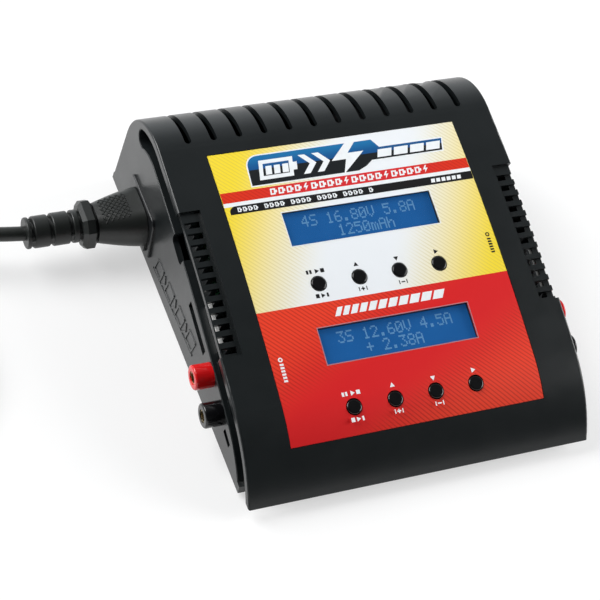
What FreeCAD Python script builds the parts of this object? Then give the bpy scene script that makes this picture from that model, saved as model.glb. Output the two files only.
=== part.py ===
"""Dual-output balance battery charger with a sloping front panel and a mains lead.

Frame: X to the right, Y to the back, Z up, millimetres.  The origin is on the table,
under the middle of the case.  Places on the sloping panel are given as (x, s, h):
s runs up the slope from the middle of the label, h stands out of the panel.
"""
import FreeCAD, Part
import math
import os

V = FreeCAD.Vector

# ---------------------------------------------------------------- driving dimensions
CASE_WIDTH = 146.0
WALL = 2.5
SIDE_FILLET = 0.8
FOOT_HEIGHT = 1.5
TRAY_BOTTOM = FOOT_HEIGHT
SEAM_Z = 5.5                     # joint between the tray and the upper case
BLANK_BOTTOM = SEAM_Z - 1.0      # the upper case is drawn this far down, then cut level at the joint
TRAY_FRONT = -78.0
RIM_FRONT = -70.2                # the rim that locates the upper case on the tray
RIM_T = 1.8
RIM_HEIGHT = 2.5

# side profile: a long arch over the panel, a round crest at the back, a round nose
PANEL_TILT = 16.5                # degrees
PANEL_Y = -18.1                  # middle of the label
PANEL_Z = 44.6
ARCH_R = 625.5
CREST_R = 30.0
NOSE_R = 50.0
CREST_ANGLE = -10.4              # from straight up, towards the back: arch meets crest
NOSE_ANGLE = -20.7               # arch meets nose
REAR_LEAN = 12.2                 # the rear wall leans back towards its foot

# label and its recess
LABEL_W = 108.2
LABEL_L = 123.6
LABEL_RECESS = 0.5
LABEL_T = 0.35

# displays, with sixteen characters on two lines
DISPLAY_X = 0.5
DISPLAY_S = {"upper": 24.4, "lower": -25.9}
WINDOW_W = 64.5
WINDOW_L = 14.9
GLASS_W = 68.0
GLASS_L = 18.5
BEZEL_W = 71.2
BEZEL_L = 25.2
BEZEL_TOP = -1.95
BEZEL_BOTTOM = -8.4
MODULE_W = 80.0
MODULE_L = 36.0
BOARD_T = 1.6
DISPLAY_BOARD_TOP = -11.5
DISPLAY_BOARD_W = 106.0
DISPLAY_BOARD_S = (-56.0, 44.0)
DISPLAY_POST_X = 49.0
DISPLAY_POST_S = (-49.0, 38.0)

# push buttons
BUTTON_PITCH = 17.385
BUTTON_FIRST_X = -25.7
BUTTON_ROWS = {"upper": -0.3, "lower": -51.3}
BUTTON_COUNT = 4
BUTTON_HOLE_R = 3.35
BUTTON_R = 3.05
BUTTON_PROUD = 0.75
BUTTON_TRAVEL = 0.6
BUTTON_FLANGE_R = 4.2
SWITCH_SIZE = 6.0
SWITCH_HEIGHT = 3.5
SWITCH_PLUNGER = 0.4

# side channel between the cover's lip and the side wall
CHANNEL_TOP = 3.5
CHANNEL_BOTTOM = 11.5
CHANNEL_DEPTH = 5.0
CHANNEL_END_ANGLE = 34.0         # round end, near the top of the crest
NOSE_POCKET_BACK = -76.0
CAVITY_FRONT = -73.0

# ventilation
CREST_SLOTS = 12
CREST_SLOT_PITCH = 10.85
CREST_SLOT_W = 2.8
CREST_SLOT_ANGLES = (-3.5, 62.0)
EDGE_VENT_INNER_X = 64.0
EDGE_VENT_OUTER_X = 72.0            # the stepped strip's rim stands in from the side
EDGE_VENT_S = (38.6, -23.2)
EDGE_VENT_DEPTH = 1.5
EDGE_SLOTS = 12
EDGE_SLOT_FIRST_S = 33.0
EDGE_SLOT_PITCH = 4.864
EDGE_SLOT_X = (65.1, 71.4)
EDGE_SLOT_W = 2.6
EDGE_SLOT_DEPTH = 8.5
EDGE_WEB_X = 69.3                   # beyond this the right-hand slots are only grooves
EDGE_GROOVE_DEPTH = 2.8

# output jacks, the same pair on both sides
JACKS = {"red": (-23.5, -16.6), "black": (-39.0, -17.5)}
JACK_R = 5.0
JACK_PROUD = 7.6
JACK_STEM_R = 3.4
JACK_STEM_END = 57.0
JACK_BOSS_END = 65.0
SLEEVE_BORE_R = 2.0
SLEEVE_R = 2.7
SLEEVE_BORE_LENGTH = 17.0
NUT_FLATS = 9.0
NUT_T = 3.2

# balance, probe and accessory ports, the same on both sides
BALANCE_S = (-17.2, 7.8)
BALANCE_SLOT_S = (-14.4, 7.0)
BALANCE_SLOT_H = (-19.3, -14.9)
KEY_X = (67.9, 69.3)                # the header's key wall, under the edge vent's slots
KEY_S = (-16.5, 2.4)
KEY_TOP = -6.75
PROBE_S = (-52.4, -45.6)
PROBE_H = (-20.5, -17.3)
ACCESSORY_S = (22.8, 34.8)
ACCESSORY_BOTTOM = -16.5

# mains inlet on the left side and low-voltage inlet on the right side
INLET_Y = 52.0
INLET_Z = 17.0
INLET_FLANGE = (30.0, 23.0)
INLET_FLANGE_T = 1.2
INLET_BODY = (27.4, 20.0)
INLET_BODY_END = 47.0
INLET_SOCKET = (24.2, 16.4)
INLET_SOCKET_DEPTH = 17.5
PIN_SPACING = 7.0
DC_BODY = (22.0, 13.0)
DC_SOCKET = (17.0, 9.0)

# main circuit board
BOARD_Z = 11.0
BOARD_X = 56.0
BOARD_Y = (-69.0, 76.0)
BOARD_POSTS = ((-48.0, -60.0), (48.0, -60.0), (-48.0, 72.0), (48.0, 72.0))
CASE_BOSSES = ((-57.5, -66.0), (57.5, -66.0), (-61.5, 76.0), (61.5, 76.0))
CASE_BOSS_R = 3.4
CASE_SCREW_R = 1.5
FEET = ((-62.0, -52.0), (62.0, -52.0), (-62.0, 60.0), (62.0, 60.0))
FOOT_R = 6.0

# cooling fan
FAN_X = 30.0
FAN_Y = 58.5
FAN_SIZE = 40.0
FAN_DEPTH = 10.0
FAN_BORE_R = 19.0
FAN_TIP_R = 18.4
FAN_HUB_R = 8.0
FAN_SHAFT_R = 1.0
FAN_BLADES = 7
FAN_Z = BOARD_Z + BOARD_T + FAN_SIZE / 2

# mains lead
CORD_R = 3.0
CONNECTOR_NOSE = (23.9, 16.1)
CONNECTOR_NOSE_LENGTH = 16.8
# sections of the grip: distance from the inlet's face, width and height, corner radius
GRIP_SECTIONS = ((0.3, (24.4, 19.0), 7.5), (8.5, (22.0, 17.4), 7.3), (14.0, (19.4, 15.9), 6.9),
                 (19.5, (16.4, 14.0), 6.2))
GRIP_WAIST_R = 6.4
# sections of the octagonal collar behind it: x, width and height, cut of the corners
COLLAR_SECTIONS = ((-94.2, (15.4, 13.8), 3.4), (-95.4, (18.6, 17.0), 4.0), (-98.6, (18.6, 17.0), 4.0),
                   (-100.2, (15.5, 14.0), 3.4))
RELIEF_CORE_R = (5.3, 4.2)
RELIEF_START_X = -99.5
RELIEF_END_X = -122.7
RELIEF_RINGS = ((-100.9, -103.6, 6.8), (-104.8, -111.8, 6.8), (-113.1, -119.7, 6.6), (-120.9, -122.7, 6.5))
RELIEF_BRIDGE = (12.4, 3.2)
COIL_X = -200.0
COIL_Y = 12.0
COIL_MEAN_R = 36.0
COIL_COLUMNS = 4
COIL_LAYERS = 2
# from the strain relief down to the table and along to the coil
CORD_ROUTE = ((-122.7, 52.0, 17.0), (-137.0, 52.0, 17.0), (-154.0, 52.4, 10.2),
              (-171.0, 54.3, 4.2), (-187.0, 56.4, 3.0), (-200.0, 57.0, 3.0))
# from the coil's top layer to the mains plug
TAIL_ROUTE = ((-245.0, 12.0, 9.0), (-246.5, -4.0, 9.0), (-249.8, -21.5, 9.0), (-251.0, -40.0, 11.0),
              (-251.0, -57.0, 11.0))
PLUG_X = -251.0
PLUG_Z = 11.0
PLUG_RELIEF_Y = (-57.0, -79.0)
PLUG_BODY_Y = (-79.0, -107.0)
PLUG_BLADE_END_Y = -124.0
BLADE_SPACING = 12.7
BLADE_T = 1.5
EARTH_PIN_R = 2.4

SIDE = CASE_WIDTH / 2
CLEAR = 0.2                      # gap between neighbouring fixed pieces
TILT = math.radians(PANEL_TILT)
BOARD_TOP = BOARD_Z + BOARD_T
DC_CUTOUT = (DC_BODY[0] + 2 * CLEAR, DC_BODY[1] + 2 * CLEAR)


# ---------------------------------------------------------------- frames and outlines
def on_circle(centre, radius, angle):
    """A point at an angle from straight up, towards the back; centre is (y, z)."""
    a = math.radians(angle)
    return (centre[0] + radius * math.sin(a), centre[1] + radius * math.cos(a))


def panel_point(s, h):
    """(y, z) of a place on the sloping panel."""
    return (PANEL_Y + s * math.cos(TILT) - h * math.sin(TILT),
            PANEL_Z + s * math.sin(TILT) + h * math.cos(TILT))


ARCH_C = panel_point(0.0, LABEL_RECESS - ARCH_R)
CREST_C = on_circle(ARCH_C, ARCH_R - CREST_R, CREST_ANGLE)
NOSE_C = on_circle(ARCH_C, ARCH_R - NOSE_R, NOSE_ANGLE)
REAR_ANGLE = 90.0 - REAR_LEAN


def surface_h(s):
    """Height of the case's surface over the panel plane at s."""
    nose_start = -ARCH_R * math.sin(math.radians(-NOSE_ANGLE - PANEL_TILT))
    if s >= nose_start:
        return LABEL_RECESS - ARCH_R + math.sqrt(ARCH_R ** 2 - s ** 2)
    dy = NOSE_C[0] - PANEL_Y
    dz = NOSE_C[1] - PANEL_Z
    centre_s = dy * math.cos(TILT) + dz * math.sin(TILT)
    centre_h = -dy * math.sin(TILT) + dz * math.cos(TILT)
    return centre_h + math.sqrt(NOSE_R ** 2 - (s - centre_s) ** 2)


def surface_slope(s):
    """Slope of the surface against the panel plane at s."""
    step = 0.1
    return (surface_h(s + step) - surface_h(s - step)) / (2 * step)


def yz(point, x=0.0):
    return V(x, point[0], point[1])


def arc(centre, radius, start, end):
    points = [on_circle(centre, radius, a) for a in (start, (start + end) / 2, end)]
    return Part.Arc(*[yz(p) for p in points]).toShape()


def nose_end_angle(inset, bottom):
    return -math.degrees(math.acos((bottom - NOSE_C[1]) / (NOSE_R - inset)))


def outline(inset, bottom):
    """Face of the side profile, moved inwards by inset and cut level at bottom."""
    tangent = on_circle(CREST_C, CREST_R - inset, REAR_ANGLE)
    fall = tangent[1] - bottom
    heel = (tangent[0] + fall * math.tan(math.radians(REAR_LEAN)), bottom)
    nose_end = nose_end_angle(inset, bottom)
    tip = on_circle(NOSE_C, NOSE_R - inset, nose_end)
    edges = [
        Part.LineSegment(yz(heel), yz(tangent)).toShape(),
        arc(CREST_C, CREST_R - inset, REAR_ANGLE, CREST_ANGLE),
        arc(ARCH_C, ARCH_R - inset, CREST_ANGLE, NOSE_ANGLE),
        arc(NOSE_C, NOSE_R - inset, NOSE_ANGLE, nose_end),
        Part.LineSegment(yz(tip), yz(heel)).toShape(),
    ]
    return Part.Face(Part.Wire(edges))


def across(face, x0, x1):
    """A face in the YZ plane swept from x0 to x1."""
    moved = face.copy()
    moved.translate(V(x0, 0, 0))
    return moved.extrude(V(x1 - x0, 0, 0))


def box(x0, x1, y0, y1, z0, z1):
    return Part.makeBox(x1 - x0, y1 - y0, z1 - z0, V(x0, y0, z0))


def to_panel(shape):
    """Place a shape drawn with the slope along Y and the normal along Z on the panel."""
    placed = shape.copy()
    placed.rotate(V(0, 0, 0), V(1, 0, 0), PANEL_TILT)
    placed.translate(V(0, PANEL_Y, PANEL_Z))
    return placed


def panel_box(x0, x1, s0, s1, h0, h1):
    return to_panel(box(min(x0, x1), max(x0, x1), s0, s1, h0, h1))


def panel_post(x, s, radius, h0, h1):
    return to_panel(Part.makeCylinder(radius, h1 - h0, V(x, s, h0)))


def post(x, y, radius, z0, z1):
    return Part.makeCylinder(radius, z1 - z0, V(x, y, z0))


def x_rod(y, z, radius, x0, x1):
    low = min(x0, x1)
    return Part.makeCylinder(radius, abs(x1 - x0), V(low, y, z), V(1, 0, 0))


def y_rod(x, z, radius, y0, y1):
    low = min(y0, y1)
    return Part.makeCylinder(radius, abs(y1 - y0), V(x, low, z), V(0, 1, 0))


def round_block(x0, x1, y, z, size, radius):
    """A block along X with a (width, height) section whose corners are rounded."""
    width, height = size
    block = box(min(x0, x1), max(x0, x1), y - width / 2, y + width / 2, z - height / 2, z + height / 2)
    long_edges = [e for e in block.Edges if abs(e.tangentAt(0).x) > 0.9]
    return block.makeFillet(radius, long_edges)


def mirrored(shape):
    return shape.mirror(V(0, 0, 0), V(1, 0, 0))


def both_sides(shape):
    return [shape, mirrored(shape)]


def fuse(shapes):
    shapes = list(shapes)
    whole = shapes[0]
    if len(shapes) > 1:
        whole = shapes[0].multiFuse(shapes[1:])
    return whole.removeSplitter()


def cut(shape, tools):
    return shape.cut(Part.makeCompound(list(tools)))


# ---------------------------------------------------------------- case
def sector(angle0, angle1, r0, r1):
    """A slice of the crest's ring between two angles, in the YZ plane."""
    inner = [yz(on_circle(CREST_C, r0, a)) for a in (angle0, (angle0 + angle1) / 2, angle1)]
    outer = [yz(on_circle(CREST_C, r1, a)) for a in (angle0, (angle0 + angle1) / 2, angle1)]
    edges = [
        Part.Arc(*inner).toShape(),
        Part.LineSegment(inner[2], outer[2]).toShape(),
        Part.Arc(*outer[::-1]).toShape(),
        Part.LineSegment(outer[0], inner[0]).toShape(),
    ]
    return Part.Face(Part.Wire(edges))


def crest_slots():
    """Vent slots over the crest, with round ends."""
    depth = WALL + 2.0
    r0 = CREST_R - depth
    r1 = CREST_R + 2.0
    slots = []
    for i in range(CREST_SLOTS):
        x = (i - (CREST_SLOTS - 1) / 2) * CREST_SLOT_PITCH
        parts = [across(sector(*CREST_SLOT_ANGLES, r0, r1), x - CREST_SLOT_W / 2, x + CREST_SLOT_W / 2)]
        for angle in CREST_SLOT_ANGLES:
            base = on_circle(CREST_C, r0, angle)
            a = math.radians(angle)
            direction = V(0, math.sin(a), math.cos(a))
            parts.append(Part.makeCylinder(CREST_SLOT_W / 2, r1 - r0, yz(base, x), direction))
        slots.append(fuse(parts))
    return slots


def edge_vent(webbed):
    """The stepped strip along the right-hand edge and its cross slots.

    A webbed slot is cut through only as far as EDGE_WEB_X, and is a groove beyond it.
    """
    blank = outline(-1.0, SEAM_Z)
    step = across(blank.cut(outline(EDGE_VENT_DEPTH, SEAM_Z)), EDGE_VENT_INNER_X, SIDE + 1)
    rim = across(blank.cut(outline(CHANNEL_TOP + 0.5, SEAM_Z)), EDGE_VENT_OUTER_X, SIDE + 1)
    reach = panel_box(EDGE_VENT_INNER_X, SIDE + 2, EDGE_VENT_S[1], EDGE_VENT_S[0], -20, 20)
    tools = [step.common(reach), rim.common(reach)]
    inner, outer = EDGE_SLOT_X
    for i in range(EDGE_SLOTS):
        s = EDGE_SLOT_FIRST_S - i * EDGE_SLOT_PITCH
        s0, s1 = s - EDGE_SLOT_W / 2, s + EDGE_SLOT_W / 2
        h = surface_h(s)
        if webbed:
            tools.append(panel_box(inner, EDGE_WEB_X, s0, s1, h - EDGE_SLOT_DEPTH, h + 1.0))
            tools.append(panel_box(EDGE_WEB_X - 0.1, SIDE, s0, s1, h - EDGE_GROOVE_DEPTH, h + 1.0))
        else:
            tools.append(panel_box(inner, outer, s0, s1, h - EDGE_SLOT_DEPTH, h + 1.0))
    return tools


def channel():
    """The channel along the right-hand side, open at the front under the nose."""
    lower = BLANK_BOTTOM - 1.0
    band = outline(CHANNEL_TOP, lower).cut(outline(CHANNEL_BOTTOM, lower))
    x0 = SIDE - CHANNEL_DEPTH
    swept = across(band, x0, SIDE + 1)
    middle_r = CREST_R - (CHANNEL_TOP + CHANNEL_BOTTOM) / 2
    end = on_circle(CREST_C, middle_r, CHANNEL_END_ANGLE)
    behind = sector(CHANNEL_END_ANGLE, 200.0, 1.0, CREST_R + 5.0)
    swept = swept.cut(across(behind, x0 - 1, SIDE + 2))
    heel = box(x0 - 1, SIDE + 2, CREST_C[0] + 5.0, 100.0, 0.0, CREST_C[1] - 2.0)
    swept = swept.cut(heel)
    round_end = x_rod(end[0], end[1], (CHANNEL_BOTTOM - CHANNEL_TOP) / 2, x0, SIDE + 1)
    return fuse([swept, round_end])


def nose_pocket():
    """The gap under the overhanging nose, between its skin and the inner front wall."""
    lower = BLANK_BOTTOM - 1.0
    band = outline(WALL, lower).cut(outline(CHANNEL_BOTTOM, lower))
    front = box(-SIDE, SIDE, -95.0, NOSE_POCKET_BACK, 0.0, 60.0)
    x = SIDE - CHANNEL_DEPTH
    return across(band, -x, x).common(front)


def cavity():
    """The room inside the upper case."""
    lower = BLANK_BOTTOM - 1.0
    x_top = SIDE - CHANNEL_DEPTH - WALL
    x_low = SIDE - WALL
    behind_nose = box(-SIDE, SIDE, CAVITY_FRONT, 100.0, 0.0, 80.0)
    top = across(outline(WALL, lower), -x_top, x_top).common(behind_nose)
    low = across(outline(CHANNEL_BOTTOM + WALL, lower), -x_low, x_low).common(behind_nose)
    heel = across(outline(WALL, lower), x_top - 1, x_low)
    heel = heel.common(box(x_top - 1, x_low, CREST_C[0] - 12.0, 100.0, lower, CREST_C[1]))
    return fuse([top, low] + both_sides(heel))


def side_openings():
    """What is cut through the right-hand wall; the left-hand wall gets its mirror image."""
    tools = []
    for s, h in JACKS.values():
        y, z = panel_point(s, h)
        tools.append(x_rod(y, z, JACK_STEM_R + 0.1, JACK_BOSS_END - 1, SIDE + 1))
    tools.append(panel_box(SIDE - 4, SIDE + 1, *BALANCE_SLOT_S, *BALANCE_SLOT_H))
    tools.append(panel_box(SIDE - 4, SIDE + 1, *PROBE_S, *PROBE_H))
    low_wall = CHANNEL_BOTTOM - 1.5
    notch = panel_box(SIDE - 4, SIDE + 1, *ACCESSORY_S, ACCESSORY_BOTTOM, -low_wall)
    corner_edges = [e for e in notch.Edges
                    if abs(e.tangentAt(0).x) > 0.9 and e.CenterOfMass.z < notch.CenterOfMass.z]
    tools.append(notch.makeFillet(2.0, corner_edges))
    x0, x1 = KEY_X
    s0, s1 = KEY_S
    tools.append(panel_box(x0 - CLEAR, x1 + CLEAR, s0 - CLEAR, s1 + CLEAR, -15.0, KEY_TOP + CLEAR))
    return tools


def jack_bosses():
    shapes = []
    for s, h in JACKS.values():
        y, z = panel_point(s, h)
        shapes.append(x_rod(y, z, JACK_R + 1.0, JACK_BOSS_END, SIDE - WALL + 0.5))
    return shapes


def outer_shell():
    """The outer shape with softened side edges."""
    body = across(outline(0.0, BLANK_BOTTOM), -SIDE, SIDE)
    rims = [e for e in body.Edges if abs(abs(e.CenterOfMass.x) - SIDE) < 0.01 and e.CenterOfMass.z > SEAM_Z]
    return body.makeFillet(SIDE_FILLET, rims)


def button_x(i):
    return BUTTON_FIRST_X + i * BUTTON_PITCH


def button_places():
    return [(row, i, button_x(i), BUTTON_ROWS[row]) for row in BUTTON_ROWS for i in range(BUTTON_COUNT)]


def window_box(row, width, length, h0, h1):
    s = DISPLAY_S[row]
    return panel_box(DISPLAY_X - width / 2, DISPLAY_X + width / 2, s - length / 2, s + length / 2, h0, h1)


def soften_channel(body):
    """Bevel the channel's long edges where they meet the side faces."""
    rims = []
    for e in body.Edges:
        centre = e.CenterOfMass
        on_side = abs(abs(centre.x) - SIDE) < 0.01 and e.BoundBox.XLength < 0.01
        if on_side and centre.z > SEAM_Z:
            rims.append(e)
    return body.makeChamfer(0.35, rims)


def upper_case():
    skin = outer_shell()
    body = soften_channel(cut(skin, both_sides(channel())))
    body = cut(body, [cavity(), nose_pocket()])
    posts = [post(x, y, CASE_BOSS_R, SEAM_Z, 60.0) for x, y in CASE_BOSSES]
    for x in (-DISPLAY_POST_X, DISPLAY_POST_X):
        posts += [panel_post(x, s, 3.0, DISPLAY_BOARD_TOP, 2.0) for s in DISPLAY_POST_S]
    for boss in jack_bosses():
        posts += both_sides(boss)
    room = across(outline(1.0, SEAM_Z), -SIDE + 1, SIDE - 1)
    body = fuse([body] + [p.common(room) for p in posts])
    band = outline(-1.0, SEAM_Z).cut(outline(LABEL_RECESS, SEAM_Z))
    recess = across(band, -LABEL_W / 2 - CLEAR, LABEL_W / 2 + CLEAR)
    reach = LABEL_L / 2 + CLEAR
    tools = [recess.common(panel_box(-60, 60, -reach, reach, -20, 20))]
    for row in DISPLAY_S:
        tools.append(window_box(row, WINDOW_W, WINDOW_L, -5, 5))
        tools.append(window_box(row, BEZEL_W + 1, BEZEL_L + 1, -5, BEZEL_TOP + 0.1))
    tools += [panel_post(x, s, BUTTON_HOLE_R, -9, 5) for _, _, x, s in button_places()]
    tools += crest_slots()
    tools += edge_vent(True) + [mirrored(tool) for tool in edge_vent(False)]
    for tool in side_openings():
        tools += both_sides(tool)
    tools += [post(x, y, 1.25, SEAM_Z - 1, 24.0) for x, y in CASE_BOSSES]
    tools.append(box(-SIDE - 1, SIDE + 1, -100.0, 100.0, 0.0, SEAM_Z))
    for x in (-DISPLAY_POST_X, DISPLAY_POST_X):
        tools += [panel_post(x, s, 1.0, DISPLAY_BOARD_TOP - 1, -4.5) for s in DISPLAY_POST_S]
    inlet = INLET_BODY[0] + 2 * CLEAR, INLET_BODY[1] + 2 * CLEAR
    tools.append(round_block(-SIDE - 1, -SIDE + 9, INLET_Y, INLET_Z, inlet, 1.5))
    tools.append(round_block(SIDE - 9, SIDE + 1, INLET_Y, INLET_Z, DC_CUTOUT, 1.0))
    return cut(body, tools)


def base_tray():
    """The bottom tray, with a rim that locates the upper case."""
    slab = across(outline(0.0, TRAY_BOTTOM), -SIDE, SIDE)
    slab = slab.common(box(-SIDE, SIDE, TRAY_FRONT, 100.0, 0.0, SEAM_Z))
    rim_x = SIDE - WALL - CLEAR
    rim = across(outline(WALL + CLEAR, TRAY_BOTTOM - 1), -rim_x, rim_x)
    rim = rim.common(box(-SIDE, SIDE, RIM_FRONT, 100.0, SEAM_Z - 1, SEAM_Z + RIM_HEIGHT))
    hollow = across(outline(WALL + RIM_T, TRAY_BOTTOM - 1), -rim_x + RIM_T, rim_x - RIM_T)
    hollow = hollow.common(box(-SIDE, SIDE, RIM_FRONT + RIM_T, 100.0, TRAY_BOTTOM + WALL, 60.0))
    inlet_gap = box(-SIDE, 0.0, INLET_Y - 15.0, INLET_Y + 15.0, SEAM_Z, 30.0)
    body = cut(fuse([slab, rim]), [hollow, inlet_gap])
    floor_z = TRAY_BOTTOM + WALL
    posts = [post(x, y, 3.5, floor_z - 0.5, BOARD_Z) for x, y in BOARD_POSTS]
    bosses = [post(x, y, CASE_BOSS_R + 1.2, floor_z - 0.5, SEAM_Z) for x, y in CASE_BOSSES]
    body = fuse([body] + posts + bosses)
    tools = [post(x, y, 1.25, floor_z + 1, BOARD_Z + 1) for x, y in BOARD_POSTS]
    for x, y in CASE_BOSSES:
        tools.append(post(x, y, CASE_SCREW_R + 0.1, 0.0, SEAM_Z + 3))
        tools.append(post(x, y, 3.0, 0.0, TRAY_BOTTOM + 1.9))
        tools.append(post(x, y, CASE_BOSS_R + CLEAR, SEAM_Z, BOARD_Z))
    tools += [post(x, y, FOOT_R + 0.1, 0.0, TRAY_BOTTOM + 1.0) for x, y in FEET]
    for column in (-1, 1):
        for i in range(8):
            y = -30.0 + i * 7.0
            tools.append(box(column * 32.0 - 12.0, column * 32.0 + 12.0, y, y + 2.5, 0.0, floor_z + 1))
    return cut(body, tools)


def label_sheet():
    top = LABEL_RECESS - LABEL_T
    band = outline(top, SEAM_Z).cut(outline(LABEL_RECESS, SEAM_Z))
    sheet = across(band, -LABEL_W / 2, LABEL_W / 2)
    sheet = sheet.common(panel_box(-60, 60, -LABEL_L / 2, LABEL_L / 2, -20, 20))
    tools = [window_box(row, WINDOW_W, WINDOW_L, -5, 5) for row in DISPLAY_S]
    tools += [panel_post(x, s, BUTTON_HOLE_R, -9, 5) for _, _, x, s in button_places()]
    return cut(sheet, tools)


def display_window(row):
    """Clear window, flush with the label."""
    band = outline(LABEL_RECESS - LABEL_T, SEAM_Z).cut(outline(LABEL_RECESS + 0.9, SEAM_Z))
    plate = across(band, -LABEL_W / 2, LABEL_W / 2)
    return plate.common(window_box(row, WINDOW_W - 0.1, WINDOW_L - 0.1, -10, 10))


# ---------------------------------------------------------------- displays and buttons
def lcd_glass(row):
    return window_box(row, GLASS_W - 0.2, GLASS_L - 0.2, BEZEL_TOP - 2.9, BEZEL_TOP - 0.1)


def lcd_bezel(row):
    frame = window_box(row, BEZEL_W, BEZEL_L, BEZEL_BOTTOM, BEZEL_TOP)
    opening = window_box(row, GLASS_W, GLASS_L, BEZEL_TOP - 3.0, BEZEL_TOP + 1)
    room = window_box(row, BEZEL_W - 1.2, BEZEL_L - 1.2, BEZEL_BOTTOM - 1, BEZEL_TOP - 3.6)
    return cut(frame, [opening, room])


def lcd_board(row):
    return window_box(row, MODULE_W, MODULE_L, BEZEL_BOTTOM - BOARD_T, BEZEL_BOTTOM)


def display_board():
    half = DISPLAY_BOARD_W / 2
    board = panel_box(-half, half, *DISPLAY_BOARD_S, DISPLAY_BOARD_TOP - BOARD_T, DISPLAY_BOARD_TOP)
    holes = []
    for x in (-DISPLAY_POST_X, DISPLAY_POST_X):
        holes += [panel_post(x, s, 1.3, DISPLAY_BOARD_TOP - 3, DISPLAY_BOARD_TOP + 1) for s in DISPLAY_POST_S]
    return cut(board, holes)


def button_switches():
    """Tact switches under the buttons."""
    shapes = []
    half = SWITCH_SIZE / 2
    top = DISPLAY_BOARD_TOP + SWITCH_HEIGHT
    for _, _, x, s in button_places():
        body = panel_box(x - half, x + half, s - half, s + half, DISPLAY_BOARD_TOP, top)
        plunger = panel_post(x, s, 1.7, top - 0.5, top + SWITCH_PLUNGER)
        shapes.append(body.fuse(plunger))
    return Part.makeCompound(shapes)


def button_cap(x, s):
    """Domed cap, a flange under the case's skin and a stem over the switch."""
    top = surface_h(s) - LABEL_RECESS + BUTTON_PROUD
    flange_top = surface_h(s) - WALL - 0.5 - BUTTON_FLANGE_R * abs(surface_slope(s))
    stem_end = DISPLAY_BOARD_TOP + SWITCH_HEIGHT + SWITCH_PLUNGER + BUTTON_TRAVEL + 0.05
    skirt_bottom = flange_top - 1.2
    cap = Part.makeCylinder(BUTTON_R, top - skirt_bottom, V(x, s, skirt_bottom))
    rim = [e for e in cap.Edges if abs(e.CenterOfMass.z - top) < 0.01]
    cap = cap.makeFillet(0.6, rim)
    flange = Part.makeCylinder(BUTTON_FLANGE_R, 1.2, V(x, s, skirt_bottom))
    stem = Part.makeCylinder(1.5, skirt_bottom - stem_end + 0.5, V(x, s, stem_end))
    return to_panel(fuse([cap, flange, stem]))


def screw(head_r, head_h, shank_r, length):
    """A cross-recessed screw, head at the origin's upper side, shank down."""
    head = Part.makeCylinder(head_r, head_h)
    rim = [e for e in head.Edges if abs(e.CenterOfMass.z - head_h) < 0.01]
    head = head.makeFillet(head_h * 0.45, rim)
    shank = Part.makeCylinder(shank_r, length, V(0, 0, -length))
    slot = Part.makeBox(head_r, 0.5, head_h, V(-head_r / 2, -0.25, head_h * 0.5))
    cross = slot.copy()
    cross.rotate(V(0, 0, 0), V(0, 0, 1), 90)
    return cut(head.fuse(shank), [slot, cross])


def display_screws():
    """Driven from below through the display board into the case's posts."""
    shapes = []
    for x in (-DISPLAY_POST_X, DISPLAY_POST_X):
        for s in DISPLAY_POST_S:
            item = screw(2.3, 1.6, 0.98, 7.0)
            item.rotate(V(0, 0, 0), V(1, 0, 0), 180)
            item.translate(V(x, s, DISPLAY_BOARD_TOP - BOARD_T))
            shapes.append(to_panel(item))
    return Part.makeCompound(shapes)


# ---------------------------------------------------------------- main board and what it carries
def main_board():
    board = box(-BOARD_X, BOARD_X, BOARD_Y[0], BOARD_Y[1], BOARD_Z, BOARD_TOP)
    inlet_room = box(-BOARD_X - 1, -INLET_BODY_END + 1.5, INLET_Y - 15, INLET_Y + 15, 0, 40)
    dc_room = box(50.0, BOARD_X + 1, INLET_Y - 13, INLET_Y + 13, 0, 40)
    holes = [post(x, y, 1.7, 0, 40) for x, y in BOARD_POSTS]
    holes += [post(x, y, CASE_BOSS_R + 0.8, 0, 40) for x, y in CASE_BOSSES]
    return cut(board, [inlet_room, dc_room] + holes)


def board_screws():
    shapes = []
    for x, y in BOARD_POSTS:
        item = screw(2.8, 1.9, 1.22, 6.5)
        item.translate(V(x, y, BOARD_TOP))
        shapes.append(item)
    return Part.makeCompound(shapes)


def case_screws():
    """Driven from below through the tray into the upper case's bosses."""
    shapes = []
    for x, y in CASE_BOSSES:
        item = screw(2.8, 1.8, 1.22, 14.0)
        item.rotate(V(0, 0, 0), V(1, 0, 0), 180)
        item.translate(V(x, y, TRAY_BOTTOM + 1.9))
        shapes.append(item)
    return Part.makeCompound(shapes)


def rubber_feet():
    shapes = []
    for x, y in FEET:
        foot = post(x, y, FOOT_R, 0.0, TRAY_BOTTOM + 0.95)
        rim = [e for e in foot.Edges if abs(e.CenterOfMass.z) < 0.01]
        shapes.append(foot.makeFillet(0.6, rim))
    return Part.makeCompound(shapes)


def block_on_board(x, y, width, depth, height):
    return box(x - width / 2, x + width / 2, y - depth / 2, y + depth / 2, BOARD_TOP, BOARD_TOP + height)


def power_transformer():
    """Ferrite core around a wound bobbin."""
    core = block_on_board(-14.0, 46.0, 34.0, 14.0, 28.0)
    window = box(-25.0, -3.0, 38.0, 54.0, BOARD_TOP + 6.0, BOARD_TOP + 22.0)
    bobbin = box(-24.0, -4.0, 34.0, 58.0, BOARD_TOP + 6.0, BOARD_TOP + 22.0)
    leg = box(-18.0, -10.0, 39.0, 53.0, BOARD_TOP + 5.0, BOARD_TOP + 23.0)
    return fuse([core.cut(window), bobbin, leg])


def main_capacitor():
    can = post(-24.0, 14.0, 10.0, BOARD_TOP, BOARD_TOP + 22.0)
    rims = [e for e in can.Edges if abs(e.CenterOfMass.z - BOARD_TOP - 22.0) < 0.01]
    return can.makeFillet(1.5, rims)


def line_choke():
    """Toroid standing on edge beside the inlet."""
    return Part.makeTorus(8.0, 3.6, V(-40.0, 26.0, BOARD_TOP + 11.6), V(0, 1, 0))


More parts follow.
